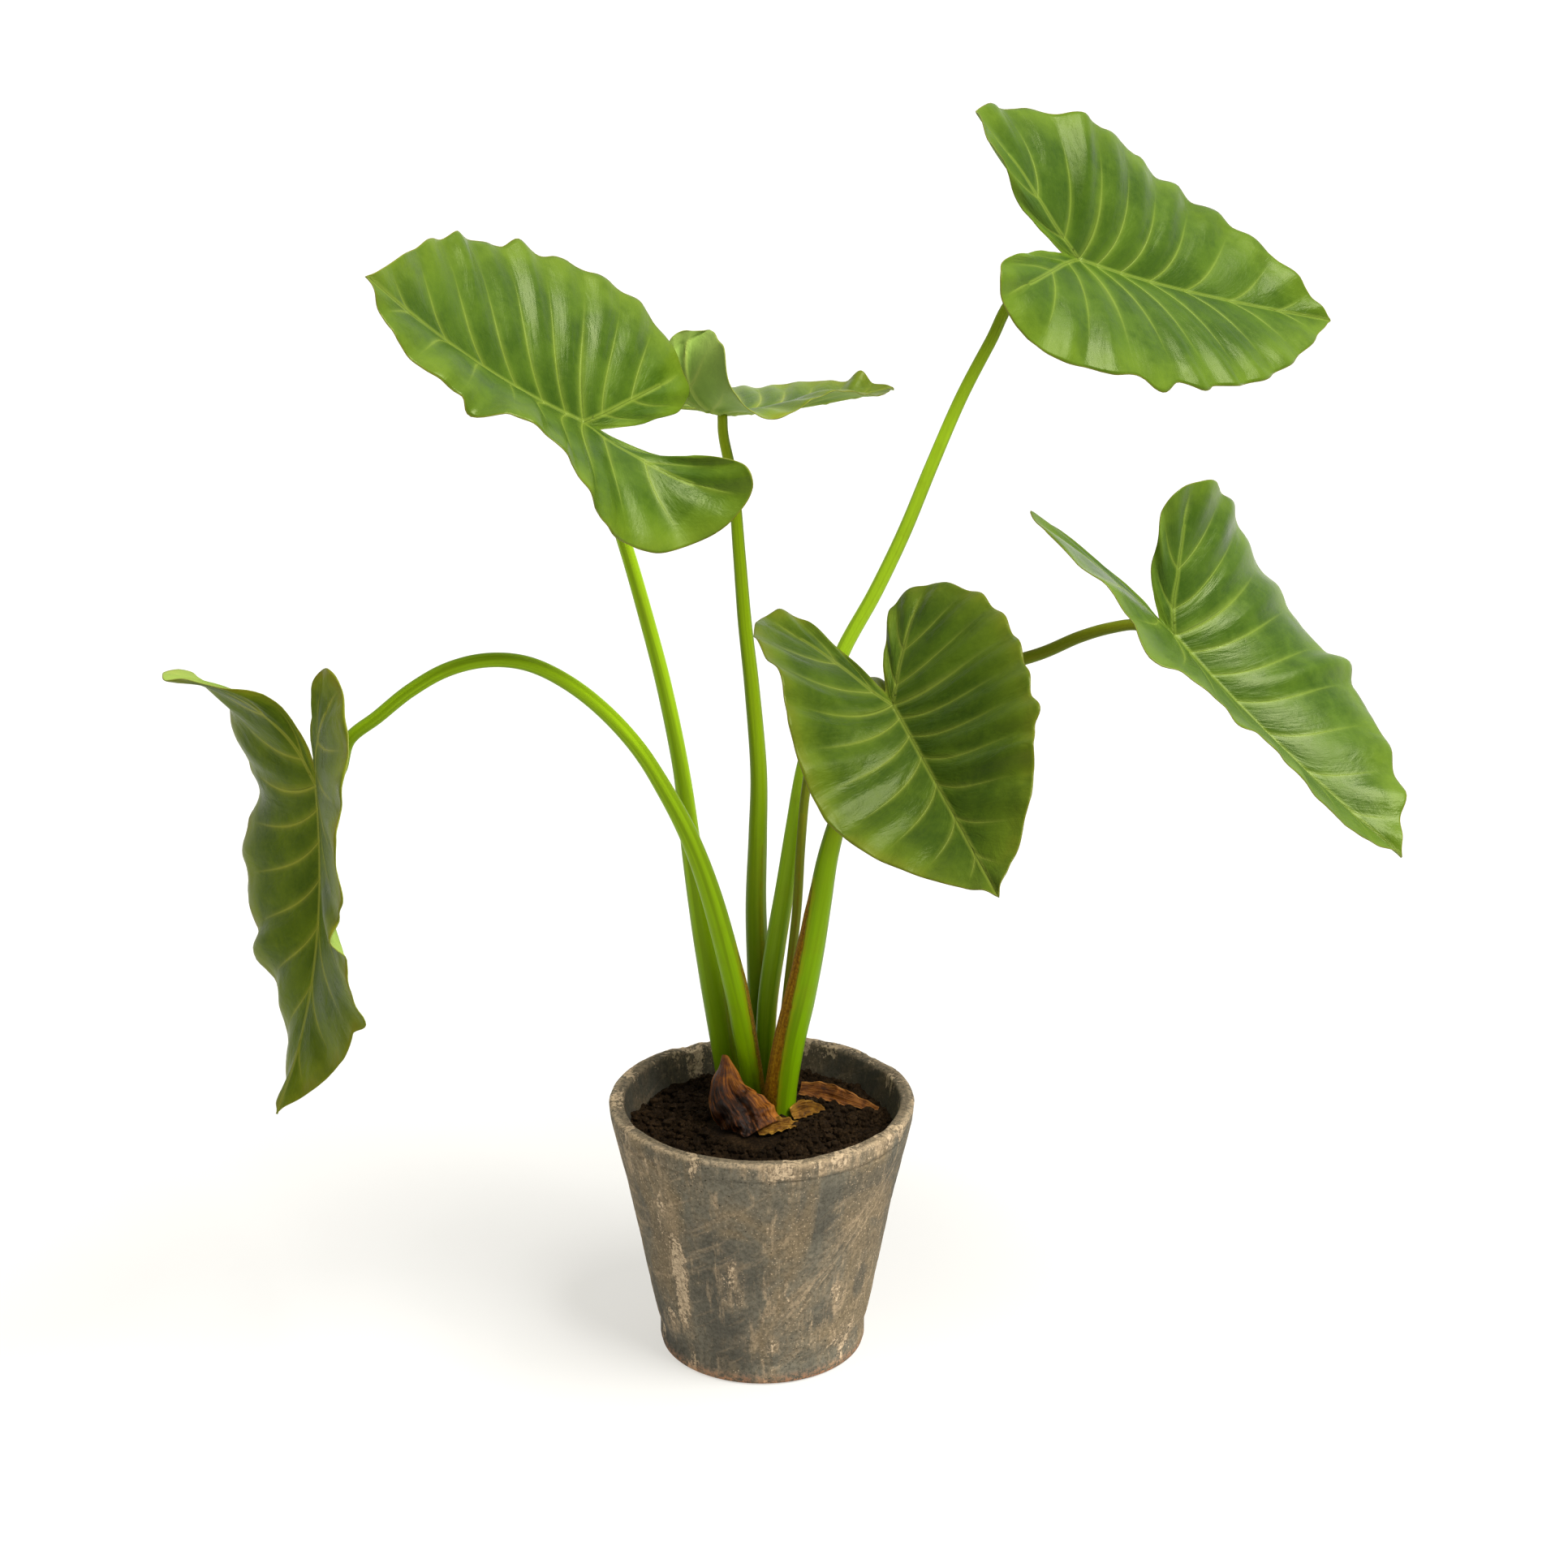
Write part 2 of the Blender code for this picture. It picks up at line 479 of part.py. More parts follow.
def stalk_rings(leaf, stalk):
    """Cross-sections up a stalk: round above, and channelled on the inner side where it is a sheath."""
    points = stalk_line(leaf, stalk)
    places = ring_places(points)
    line = through(points, places)
    step = 0.001
    tangent = unit(through(points, np.minimum(places + step, 1)) - through(points, np.maximum(places - step, 0)))
    tangent[0] = (0, 0, 1)
    tangent[-1] = navel_normal(leaf)
    run = np.concatenate([[0], np.cumsum(np.linalg.norm(np.diff(line, axis=0), axis=1))])
    side = unit(np.array([STALK_CLUMP[0], STALK_CLUMP[1], 0]) - line[0] * (1, 1, 0))
    angles = np.arange(STALK_SIDES) * 2 * math.pi / STALK_SIDES
    dip = np.exp(-(np.minimum(angles, 2 * math.pi - angles) / CHANNEL_ANGLE) ** 2)
    rings = []
    for centre, way, gone in zip(line, tangent, run):
        side = unit(side - way * (side @ way))
        sheath = 1 - smoothstep(gone / (SHEATH_END + STALK_DEPTH))
        reach = np.interp(gone / run[-1], RADIUS_PLACES, stalk["radii"]) * (1 - stalk["channel"] * sheath * dip)
        rings.append(centre + np.outer(np.cos(angles) * reach * (1 - SHEATH_FLAT * sheath), side)
                     + np.outer(np.sin(angles) * reach, np.cross(way, side)))
    return np.array(rings)


def grown(rings, more):
    """The same rings, each wider by more all round, and the first one lower by as much."""
    from_centre = rings - rings.mean(axis=1, keepdims=True)
    wider = rings + unit(from_centre) * more
    wider[0, :, 2] -= more
    return wider


def loft(name, rings, collection, material=None):
    """A closed tube through rings of points, with flat ends."""
    sides = len(rings[0])
    faces = [tuple(range(sides))[::-1], tuple((len(rings) - 1) * sides + k for k in range(sides))]
    for row in range(len(rings) - 1):
        for k in range(sides):
            a, b = row * sides + k, row * sides + (k + 1) % sides
            faces += [(a, b, b + sides), (a, b + sides, a + sides)]
    return new_object(name, np.vstack(rings), faces, collection, material)


def build_sheath(name, sheath, collection, material):
    """A dried sheath: a thin cupped strip that lies on the soil, with a frilled margin."""
    rows = np.linspace(0, 1, SHEATH_ROWS)
    line = through(sheath["midline"], rows)
    line[:, 2] += soil_height(line[:, 0], line[:, 1])
    widths = through(sheath["widths"], rows)[:, 0]
    tangent = unit(np.gradient(line, axis=0))
    across = np.array(sheath["across"])
    across = unit(across - tangent * (tangent @ across)[:, None])
    out = np.cross(across, tangent)
    out *= np.sign(out[:, 2:])
    shift = np.linspace(-1, 1, SHEATH_COLUMNS + 1)
    waves = np.sin(2 * math.pi * SHEATH_FRILLS * rows[:, None] + 2 * shift) * np.abs(shift)
    frill = sheath["frill"] * waves * np.minimum(1, 4 * rows)[:, None]
    bow = sheath["cup"] * widths[:, None] * (shift ** 2 - 0.5) + frill
    under = line[:, None] + across[:, None] * (shift * widths[:, None])[..., None] + out[:, None] * bow[..., None]
    under[..., 2] = np.maximum(under[..., 2], soil_height(under[..., 0], under[..., 1]) + SHEATH_REST)
    top = under + out[:, None] * SHEATH_THICKNESS
    index = np.arange(top.shape[0] * top.shape[1]).reshape(top.shape[:2])
    return slab(name, top.reshape(-1, 3), under.reshape(-1, 3), grid_triangles(index), collection, material)


def main():
    for item in list(bpy.data.objects):
        bpy.data.objects.remove(item)
    parts = bpy.data.collections.new(COLLECTION)
    tools = bpy.data.collections.new("cutters")
    for group in (parts, tools):
        bpy.context.scene.collection.children.link(group)
    blade_green = new_material("blade")
    stalk_green = new_material("stalk")
    dried = new_material("sheath")
    build_pot(parts)
    cutters = []
    for key, leaf in LEAVES.items():
        rings = stalk_rings(leaf, STALKS[key])
        loft("petiole_" + key, rings, parts, stalk_green)
        hole = loft("hole_" + key, grown(rings[:HOLE_RINGS], GAP), tools)
        hole.hide_render = True
        hole.display_type = "WIRE"
        cutters.append(hole)
        build_blade("blade_" + key, leaf, parts, blade_green)
    build_soil(parts, cutters)
    for name, sheath in SHEATHS.items():
        build_sheath(name, sheath, parts, dried)


main()
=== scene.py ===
"""Looks of the potted alocasia: fine blades, stalks, dried sheaths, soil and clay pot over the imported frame.

Metres, +Z up, origin at the middle of the pot's base. The front of the plant faces -Y.
"""
import functools
import math

import bmesh
import bpy
import numpy as np
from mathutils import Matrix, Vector, noise


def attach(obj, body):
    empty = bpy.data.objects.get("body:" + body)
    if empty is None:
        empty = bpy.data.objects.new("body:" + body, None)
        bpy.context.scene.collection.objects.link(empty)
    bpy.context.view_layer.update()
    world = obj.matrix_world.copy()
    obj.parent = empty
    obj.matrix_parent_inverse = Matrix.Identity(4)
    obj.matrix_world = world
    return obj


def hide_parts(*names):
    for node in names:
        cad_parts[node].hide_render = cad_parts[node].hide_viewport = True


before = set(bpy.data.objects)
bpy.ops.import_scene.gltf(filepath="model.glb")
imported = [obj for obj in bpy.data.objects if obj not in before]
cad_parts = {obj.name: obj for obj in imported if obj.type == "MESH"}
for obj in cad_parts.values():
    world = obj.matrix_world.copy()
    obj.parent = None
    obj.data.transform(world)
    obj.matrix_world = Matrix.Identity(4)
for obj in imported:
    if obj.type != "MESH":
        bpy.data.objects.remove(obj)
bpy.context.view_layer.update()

# Camera
CAMERA_PLACE = (0.0218, -2.448, 1.43)
CAMERA_PITCH = 19.0
CAMERA_LENS = 63.0
CAMERA_SENSOR = 36.0

# Light: a white studio that is dim on the viewer's side, and one large soft light high on the right
FILL_BRIGHT = 0.75
FILL_DIM = 0.16
FILL_WAY = (0.15, 0.55, 0.82)   # towards the studio's bright side
FILL_RANGE = (-0.35, 0.85)      # share of the way to that side where the fill is dim and where it is bright
HORIZON = 1.0                   # brightness of a pale band round the horizon
HORIZON_RANGE = (0.11, 0.30)    # sines of the heights where the band starts to fade and where it ends
KEY_STRENGTH = 7.0
KEY_WAY = (0.50, -0.30, 0.95)   # from the plant towards the light
KEY_SPREAD = 36                 # degrees that the light spans
KEY_COLOUR = (1.0, 0.985, 0.95)
FLOOR_SIZE = 120
FLOOR_COLOUR = (0.250, 0.250, 0.250)
FLOOR_GLOW = 0.60
FLOOR_GLOW_COLOUR = (1.0, 0.975, 0.91)

# Pot
POT_HEIGHT = 0.2625
POT_RIM_RADIUS = 0.150
POT_COLLAR_HEIGHT = 0.019
POT_COLLAR_TAPER = 0.0018
POT_GROOVE = 0.002
POT_BELLY = ((0.1325, 0.1745), (0.1220, 0.1205), (0.1122, 0.0655), (0.1068, 0.038))
POT_FOOT_RADIUS = 0.1028
POT_SLOPE = 0.195               # outward lean of the wall over its height
POT_FOOT_HEIGHT = 0.024
POT_FOOT_EDGE = 0.0045
POT_EDGE = 0.002
POT_WALL = 0.0145
POT_INNER_HEIGHTS = (0.205, 0.2225)     # where the inner wall starts, below the soil
POT_SIDES = 288
POT_STEP = 0.0022               # length of a face up the wall
POT_UNEVEN = 0.0007
RIM_CHIPS = ((121, 5, 0.0042), (112, 3, 0.0022), (41, 6, 0.0020), (33, 4, 0.0016), (205, 5, 0.0014),
             (287, 7, 0.0012), (330, 4, 0.0016))   # direction in degrees, half width in degrees, depth
SLATE_DARK = (0.092, 0.086, 0.066)      # linear colours of the clay
SLATE_LIGHT = (0.165, 0.150, 0.110)
BROWN_FILM = (0.225, 0.168, 0.096)
TAN = (0.430, 0.320, 0.195)
BEIGE = (0.620, 0.475, 0.310)
BURNT_CLAY = (0.420, 0.190, 0.090)
# dark of painted shade: in the pot's pits, in the low spots of its grain and inside it above the soil
POT_PIT_SHADE = (0.030, 0.026, 0.018)
# Marks on the pot: direction in degrees from +X, height, half width in degrees, half height, strength
WORN_MARKS = ((-103, 0.117, 7, 0.034, 1.0), (-131, 0.140, 6, 0.130, 0.8), (-49, 0.096, 8, 0.024, 1.1),
              (-39, 0.045, 6, 0.018, 0.9), (-148, 0.045, 8, 0.020, 1.0), (-58, 0.258, 44, 0.014, 1.6),
              (-92, 0.050, 17, 0.013, 0.7), (-155, 0.235, 18, 0.026, 1.1), (118, 0.240, 22, 0.034, 1.2),
              (60, 0.110, 9, 0.060, 0.9), (160, 0.080, 10, 0.050, 0.9), (12, 0.150, 7, 0.070, 0.8))
DARK_MARKS = ((-57, 0.073, 8, 0.013, 1.0), (-36, 0.096, 5, 0.021, 1.0), (-45, 0.222, 30, 0.014, 0.8),
              (90, 0.180, 16, 0.030, 0.8), (-112, 0.075, 7, 0.035, 0.6))
WIPE_ENDS = ((-80, 0.070), (-25, 0.225))    # a slanting wipe on the front, the same way

# Soil
SOIL_EDGE_HEIGHT = 0.231
SOIL_CROWN = 0.010
SOIL_CLODS = ((37, 61, 0.0), (83, 29, 1.3), (52, 97, 2.1), (118, 74, 4.0))
SOIL_CLOD_HEIGHT = 0.0011
STALK_CLUMP = (0.004, 0.052)
CLUMP_RADIUS = 0.062
CLUMP_CORE = 0.7
SOIL_RINGS = 110
SOIL_SIDES = 300
SOIL_ROUGH = 0.0042
SHEATH_PRESS = 0.006
CRUMBS = 5600
CRUMB_SIZES = (0.0009, 0.0050)
CRUMB_SEED = 11

# Blade pattern, in midrib lengths
MARGIN = ((0, 1.0), (0.085, 0.92), (0.197, 0.803), (0.304, 0.67), (0.384, 0.53), (0.433, 0.385), (0.463, 0.228),
          (0.475, 0.055), (0.463, -0.128), (0.416, -0.293), (0.302, -0.452), (0.185, -0.462), (0.09, -0.30),
          (0, -0.07))
MIDRIB = (1.0, 0.76, 0.59, 0.42, 0.28, 0.165, 0.07, 0.0)
LOBE_RIB = ((0, 0), (0.045, -0.07), (0.125, -0.20), (0.21, -0.33))
FORWARD_VEINS = len(MIDRIB) - 1
LOBE_VEINS = len(LOBE_RIB) - 1
VEINS = FORWARD_VEINS + 2 * LOBE_VEINS
VEIN_HOOK = 0.47        # how strongly a side vein sweeps forward beside the midrib
LOBE_BOW = 0.6
TIP_PINCH = (0.4, 0.05)
PATTERN_BACK = -0.5
RIB_BLEND = 0.12
ARCH_STEPS = 12
ROWS_A_VEIN = 12
BLADE_COLUMNS = 24
BLADE_THICKNESS = 0.0009
VEIN_DEPTH = 0.0013
VEIN_WIDTH = 0.0016
KEEL_DEPTH = 0.0045
KEEL_TIP_DEPTH = 0.0006
KEEL_WIDTH = 0.0024
SCALLOP = 0.03          # how far the margin bulges out between veins, as a share of the half width
WAVE_RISE = 1.6
WAVE_CHANGE = 0.4
WAVE_TURN = 2.4
WAVE_START = {-1: 0.0, 1: 1.7}
STRAIGHT = 0.01
QUILT = 0.0028          # how far a blade swells between its side veins
FURROW = 0.0008         # how far the upper face sinks along a side vein
CRINKLE = 0.0013        # small unevenness towards the margin
CRINKLE_SIZE = 0.022
BLADE_BUNCH = 0.4       # how far a blade's columns gather at its rib and margin
KEEL_START = 0.34       # how far behind the stalk the keel starts to grow
UV_LENGTH = 10          # lengths in a UV layer are in tenths of a metre
UV_TO_MM = 100.0
SHEEN = (0.90, 1.0, 0.50)       # tint of the gloss of blades and stalks
AGED_TINT = (1.65, 1.05, 1.0)   # what ageing makes of a green
AGED_MARGIN = (0.150, 0.100, 0.010)
# dark green of painted shade, in the furrow beside each side vein and in the groove along the midrib's middle
VEIN_GROOVE_SHADE = (0.018, 0.034, 0.0020)

# Linear colours of a blade's faces: its deep, plain and pale green, its side veins and its margin
BLADE_COLOURS = {
    "upper": ((0.026, 0.060, 0.0040), (0.051, 0.101, 0.0050), (0.094, 0.155, 0.0080), (0.150, 0.212, 0.024),
              (0.150, 0.150, 0.016)),
    "under": ((0.094, 0.165, 0.026), (0.125, 0.211, 0.036), (0.176, 0.264, 0.056), (0.198, 0.277, 0.053),
              (0.158, 0.172, 0.033)),
}

# Looks of each blade: how light its green is (partly its own tone, partly painted light and shade for how the
# light falls on that blade), how far it has aged to olive and brown, how crumpled it is, and how glossy
BLADE_LOOKS = {
    "high_left": dict(tone_and_painted_light=0.93, aged=0.05, crumple=0.8, gloss=0.18),
    "back": dict(tone_and_painted_light=1.30, aged=0.30, crumple=0.8, gloss=0.14),
    "high_right": dict(tone_and_painted_light=0.92, aged=0.0, crumple=0.7, gloss=0.14),
    "low_right": dict(tone_and_painted_light=0.90, aged=0.0, crumple=0.7, gloss=0.19),
    "front": dict(tone_and_painted_light=0.67, aged=0.20, crumple=1.0, gloss=0.11),
    "drooping_left": dict(tone_and_painted_light=1.28, aged=0.60, crumple=1.3, gloss=0.02),
}


def half(fold, curl, lobe, width, reach, wave, dents=None, bulges=None):
    """One half of a blade: degrees up at lobe, stalk, middle and tip; degrees its margin turns over a midrib
    length; degrees the lobe bends up; width and lobe length for the pattern; usual wave in mm; dents, the waves
    between veins that have a height of their own; bulges, the margin there in hundredths of the half width."""
    return dict(fold=fold, curl=curl, lobe=lobe, width=width, reach=reach, wave=wave, dents=dents or {},
                bulges=bulges or {})


# Leaves: as in the solids, from the same values
LEAVES = {
    "high_left": dict(
        navel=(-0.155, -0.057, 0.944), heading=212, rise=27, roll=-46, length=0.266, arch=(-28, 8),
        left=half((-18, 24, 41, -20), -59, 84, 1.02, 1.07, 4, {2: 7, 3: -14}),
        right=half((22, 25, 16, 15), -47, -5, 1.21, 0.86, 2, {3: 6, 5: 6}, {1: 1, 4: 0, 5: 6, 7: 1})),
    "back": dict(
        navel=(-0.036, 0.105, 0.922), heading=22, rise=-3, roll=-13, length=0.179, arch=(-15, 5),
        left=half((16, 23, 21, 31), -22, 0, 1.01, 1.0, 1, {1: 12}),
        right=half((74, 4, 14, -14), -38, 60, 1.01, 1.30, 1, {8: 5})),
    "high_right": dict(
        navel=(0.289, 0.057, 1.070), heading=32, rise=-20, roll=50, length=0.296, arch=(-23, 11),
        left=half((5, 33, 13, 17), -66, 37, 0.96, 1.10, 3, {4: 6, 6: 0, 7: 6, 8: -1, 9: 8}),
        right=half((-10, 22, 22, 13), -53, 31, 0.99, 0.87, 3, {0: -1, 4: 6, 6: -2}, {5: 6, 6: 9})),
    "low_right": dict(
        navel=(0.382, -0.009, 0.735), heading=-16, rise=-46, roll=42, length=0.291, arch=(-18, 2),
        left=half((45, 15, 9, 3), -109, 17, 1.22, 0.75, 4, {3: -2, 4: 11, 5: -2}, {1: 8}),
        right=half((52, 53, 57, 40), -5, -17, 1.03, 1.14, 2, {5: -5, 7: -11, 8: 6})),
    "front": dict(
        navel=(0.117, -0.153, 0.713), heading=-68, rise=-25, roll=43, length=0.243, arch=(-2, -1),
        left=half((-3, 3, 11, -1), -20, -8, 1.06, 0.96, 3, {1: -2, 3: 8}, {4: 7}),
        right=half((33, 44, 17, 21), 69, -11, 1.03, 1.24, 3, {7: 7})),
    "drooping_left": dict(
        navel=(-0.405, -0.083, 0.614), heading=34, rise=-88, roll=166, length=0.317, arch=(-19, -17),
        left=half((15, 35, 28, -4), -7, 9, 1.11, 0.91, 3, {3: -8, 5: 12, 6: -4}, {3: 6, 6: 6}),
        right=half((21, 6, 5, -47), -77, 66, 0.97, 1.12, 3, {3: 13, 6: -11, 7: 8, 11: 3})),
}

# Stalks: as in the solids. Route from the soil up, half widths at the foot, above the sheath, half-way and at
# the top, and depth of the sheath's channel as a share of the radius
STALKS = {
    "high_left": dict(
        route=((-0.033, 0.070, 0.244), (-0.045, 0.069, 0.329), (-0.058, 0.066, 0.417), (-0.068, 0.061, 0.496),
               (-0.077, 0.053, 0.582), (-0.091, 0.041, 0.667), (-0.107, 0.026, 0.743), (-0.124, 0.008, 0.816),
               (-0.140, -0.016, 0.876)),
        radii=(0.0145, 0.0134, 0.0080, 0.0058), channel=0.30),
    "back": dict(
        route=((-0.002, 0.088, 0.240), (-0.003, 0.088, 0.334), (-0.006, 0.088, 0.426), (-0.004, 0.088, 0.503),
               (-0.003, 0.089, 0.570), (-0.009, 0.091, 0.652), (-0.016, 0.093, 0.721), (-0.021, 0.097, 0.788),
               (-0.026, 0.101, 0.850)),
        radii=(0.0100, 0.0118, 0.0084, 0.0048), channel=0.25),
    "high_right": dict(
        route=((0.002, 0.064, 0.246), (0.005, 0.064, 0.331), (0.013, 0.064, 0.396), (0.023, 0.064, 0.459),
               (0.032, 0.065, 0.520), (0.042, 0.066, 0.582), (0.059, 0.067, 0.645), (0.079, 0.068, 0.700),
               (0.108, 0.069, 0.755), (0.135, 0.070, 0.814), (0.160, 0.071, 0.878), (0.186, 0.072, 0.941),
               (0.212, 0.073, 0.993), (0.232, 0.072, 1.032)),
        radii=(0.0093, 0.0100, 0.0075, 0.0050), channel=0.25),
    "low_right": dict(
        route=((0.018, 0.014, 0.257), (0.026, 0.014, 0.311), (0.037, 0.013, 0.362), (0.047, 0.013, 0.410),
               (0.056, 0.013, 0.462), (0.065, 0.013, 0.514), (0.080, 0.013, 0.565), (0.106, 0.013, 0.612),
               (0.141, 0.013, 0.649), (0.180, 0.013, 0.678), (0.221, 0.013, 0.698), (0.263, 0.013, 0.712),
               (0.296, 0.013, 0.727), (0.325, 0.013, 0.736), (0.351, 0.012, 0.739)),
        radii=(0.0168, 0.0156, 0.0076, 0.0050), channel=0.35),
    "front": dict(
        route=((0.014, 0.046, 0.245), (0.024, 0.046, 0.344), (0.034, 0.046, 0.438), (0.038, 0.046, 0.508),
               (0.043, 0.044, 0.567), (0.053, 0.033, 0.624), (0.072, 0.004, 0.671), (0.093, -0.044, 0.699),
               (0.109, -0.092, 0.713)),
        radii=(0.0048, 0.0048, 0.0046, 0.0044), channel=0.15),
    "drooping_left": dict(
        route=((-0.008, 0.042, 0.252), (-0.021, 0.038, 0.338), (-0.036, 0.033, 0.411), (-0.052, 0.027, 0.475),
               (-0.070, 0.021, 0.529), (-0.091, 0.013, 0.576), (-0.115, 0.003, 0.621), (-0.145, -0.008, 0.661),
               (-0.178, -0.020, 0.693), (-0.213, -0.033, 0.715), (-0.249, -0.045, 0.722),
               (-0.285, -0.056, 0.716), (-0.318, -0.066, 0.699), (-0.347, -0.074, 0.677),
               (-0.373, -0.079, 0.657)),
        radii=(0.0130, 0.0122, 0.0078, 0.0058), channel=0.32),
}
STALK_SIDES = 40
STALK_RINGS = 170
STALK_DEPTH = 0.045
SHEATH_END = 0.22
SHEATH_FLAT = 0.12
CHANNEL_ANGLE = 0.7
RADIUS_PLACES = (0.0, 0.2, 0.5, 1.0)
JOINT_LEAD = 0.020
JOINT_REACH = 0.0035    # how far the top of a stalk runs on into the keel
JOINT_RINGS = 8
JOINT_DOME = ((0.9, 0.45), (0.62, 0.8), (0.25, 1.0))    # rings that close the top: share of the width, rise
STALK_STEP = 0.001      # share of the route over which its direction is measured
PAPERY_RIDGE = 0.0007   # height of the papery margin's edge
PAPERY_RIDGE_MM = 1.2   # half width of that edge
PAPERY_TAPER = 0.55     # how bluntly the papery margin narrows upwards
GAP = 0.0003

# Looks of each stalk: linear colours at the foot, middle and top, and its papery margin: the side that it is on
# (degrees, 0 to the right and 270 to the front), half width in degrees at the foot, height above the soil where
# it ends; how brown that is; and the shares of the stalk's length where its middle colour is full and where its
# top colour is
STALK_LOOKS = {
    "high_left": dict(colours=((0.142, 0.252, 0.0017), (0.251, 0.407, 0.0056), (0.209, 0.312, 0.0056)),
                      margin=(330, 26, 0.13), brown=0.15, full=0.38, olive=0.93),
    # back: its top colour is partly painted light, made lighter to lift the shade that the back blade casts on
    # it
    "back": dict(colours=((0.109, 0.190, 0.0011), (0.185, 0.290, 0.0030), (0.230, 0.290, 0.0070)),
                 margin=(300, 18, 0.26), brown=0.25, full=0.38, olive=0.985),
    # high_right: its middle colour is partly painted light, as light as the stalk looks where the light strikes
    # it
    "high_right": dict(colours=((0.100, 0.195, 0.0011), (0.410, 0.640, 0.0180), (0.100, 0.130, 0.0033)),
                       margin=(350, 20, 0.22), brown=0.45, full=0.72, olive=0.90),
    "low_right": dict(colours=((0.180, 0.345, 0.0009), (0.170, 0.290, 0.0025), (0.110, 0.112, 0.0050)),
                      margin=(203, 58, 0.235), brown=0.92, full=0.38, olive=0.52),
    "front": dict(colours=((0.209, 0.190, 0.017), (0.159, 0.190, 0.0084), (0.100, 0.139, 0.0045)),
                  margin=(270, 10, 0.30), brown=0.35, full=0.38, olive=0.95),
    "drooping_left": dict(colours=((0.210, 0.375, 0.0009), (0.243, 0.399, 0.0050), (0.184, 0.287, 0.0060)),
                          margin=(338, 38, 0.165), brown=0.85, full=0.38, olive=0.96),
}

# Dried sheaths: as in the solids, but with a deeper frill on the large one, and with a valley along each: where
# it runs, from -1 to 1 across, and its depth as a share of the half width
SHEATHS = {
    "dried_sheath_large": dict(
        midline=((-0.006, -0.034, 0.0), (-0.017, -0.024, 0.014), (-0.033, -0.006, 0.032),
                 (-0.036, 0.022, 0.058)),
        across=(0.97, -0.15, 0.0), widths=(0.027, 0.028, 0.021, 0.003), cup=-0.95, frill=0.0030,
        valley=(0.12, 0.42)),
    "dried_sheath_tongue": dict(
        midline=((0.029, -0.003, 0.005), (0.039, 0.006, 0.007), (0.049, 0.016, 0.005), (0.062, 0.025, 0.001)),
        across=(-0.30, 0.40, 0.87), widths=(0.006, 0.009, 0.007, 0.002), cup=0.25, frill=0.0012,
        valley=(0.0, 0.20)),
    "dried_sheath_strip": dict(
        midline=((0.038, 0.067, 0.004), (0.063, 0.058, 0.006), (0.087, 0.042, 0.005), (0.116, 0.035, 0.001)),
        across=(0.15, 0.80, 0.55), widths=(0.008, 0.010, 0.008, 0.003), cup=0.20, frill=0.0012,
        valley=(-0.2, 0.30)),
}
SHEATH_ROWS = 130
SHEATH_COLUMNS = 70
SHEATH_THICKNESS = 0.0006
SHEATH_FRILLS = 4.5
SHEATH_REST = 0.0007
SHEATH_FOLDS = 0.14     # depth of the lengthwise folds, as a share of the half width
SHEATH_CRUMPLE = 0.20   # the same of the crumpling
SHEATH_RAGGED = 0.11    # how unevenly the long edges are torn
VALLEY_WIDTH = 0.24
SHEATH_COLOURS = {      # linear: dark, middle and light; how much lighter the right half and the far end are
    "dried_sheath_large": dict(right=0.10, end=0.07, colours=(
        (0.010, 0.0028, 0.0006), (0.090, 0.024, 0.0020), (0.330, 0.110, 0.0090))),
    "dried_sheath_tongue": dict(right=0.0, end=0.0, colours=(
        (0.050, 0.017, 0.0012), (0.250, 0.105, 0.0080), (0.480, 0.250, 0.0300))),
    "dried_sheath_strip": dict(right=0.0, end=0.03, colours=(
        (0.030, 0.008, 0.0010), (0.200, 0.062, 0.0080), (0.450, 0.190, 0.0360))),
    "dried_sheath_frill": dict(right=0.0, end=0.0, colours=(
        (0.030, 0.009, 0.0010), (0.210, 0.082, 0.0050), (0.500, 0.270, 0.0300))),
}
# The torn lower edge of the large sheath, which runs on round the foot of the stalks: looks only
FRILL = dict(
    midline=((-0.004, -0.036, 0.004), (0.009, -0.031, 0.006), (0.022, -0.026, 0.006), (0.035, -0.020, 0.002)),
    across=(0.20, -0.70, -0.50), widths=(0.006, 0.008, 0.007, 0.003), cup=0.35, frill=0.0020,
    valley=(0.1, 0.30))


# Curves and small sums

def through(points, place):
    """A smooth curve through the points, read at each place from 0 to 1."""
    points = np.asarray(points, float)
    points = points.reshape(len(points), -1)
    last = len(points) - 1
    span = np.clip(place, 0, 1) * last
    start = np.minimum(span.astype(int), last - 1)
    f = (span - start)[..., None]
    before, here, there, after = (points[np.clip(start + k, 0, last)] for k in (-1, 0, 1, 2))
    before = np.where((start == 0)[..., None], 2 * here - there, before)
    after = np.where((start == last - 1)[..., None], 2 * there - here, after)
    bend = 2 * before - 5 * here + 4 * there - after + f * (3 * (here - there) + after - before)
    return here + 0.5 * f * (there - before + f * bend)


def smoothstep(value):
    value = np.clip(value, 0, 1)
    return value * value * (3 - 2 * value)


def unit(vector):
    vector = np.asarray(vector, float)
    return vector / np.linalg.norm(vector, axis=-1, keepdims=True)


def circle(sides):
    """Directions of that many even steps round a circle, in radians."""
    return np.arange(sides) * 2 * math.pi / sides


def run_length(points):
    """Length run along the points up to each of them."""
    return np.concatenate([[0], np.cumsum(np.linalg.norm(np.diff(points, axis=0), axis=1))])


def noise_at(points, size, octaves=3):
    """Smooth noise from about -1 to 1 at each point, with features of that size in metres."""
    flat = np.asarray(points, float).reshape(-1, 3) / size
    values = [noise.fractal(Vector(p), 0.7, 2.0, octaves) for p in flat]
    return np.array(values).reshape(np.shape(points)[:-1])


# Node helper

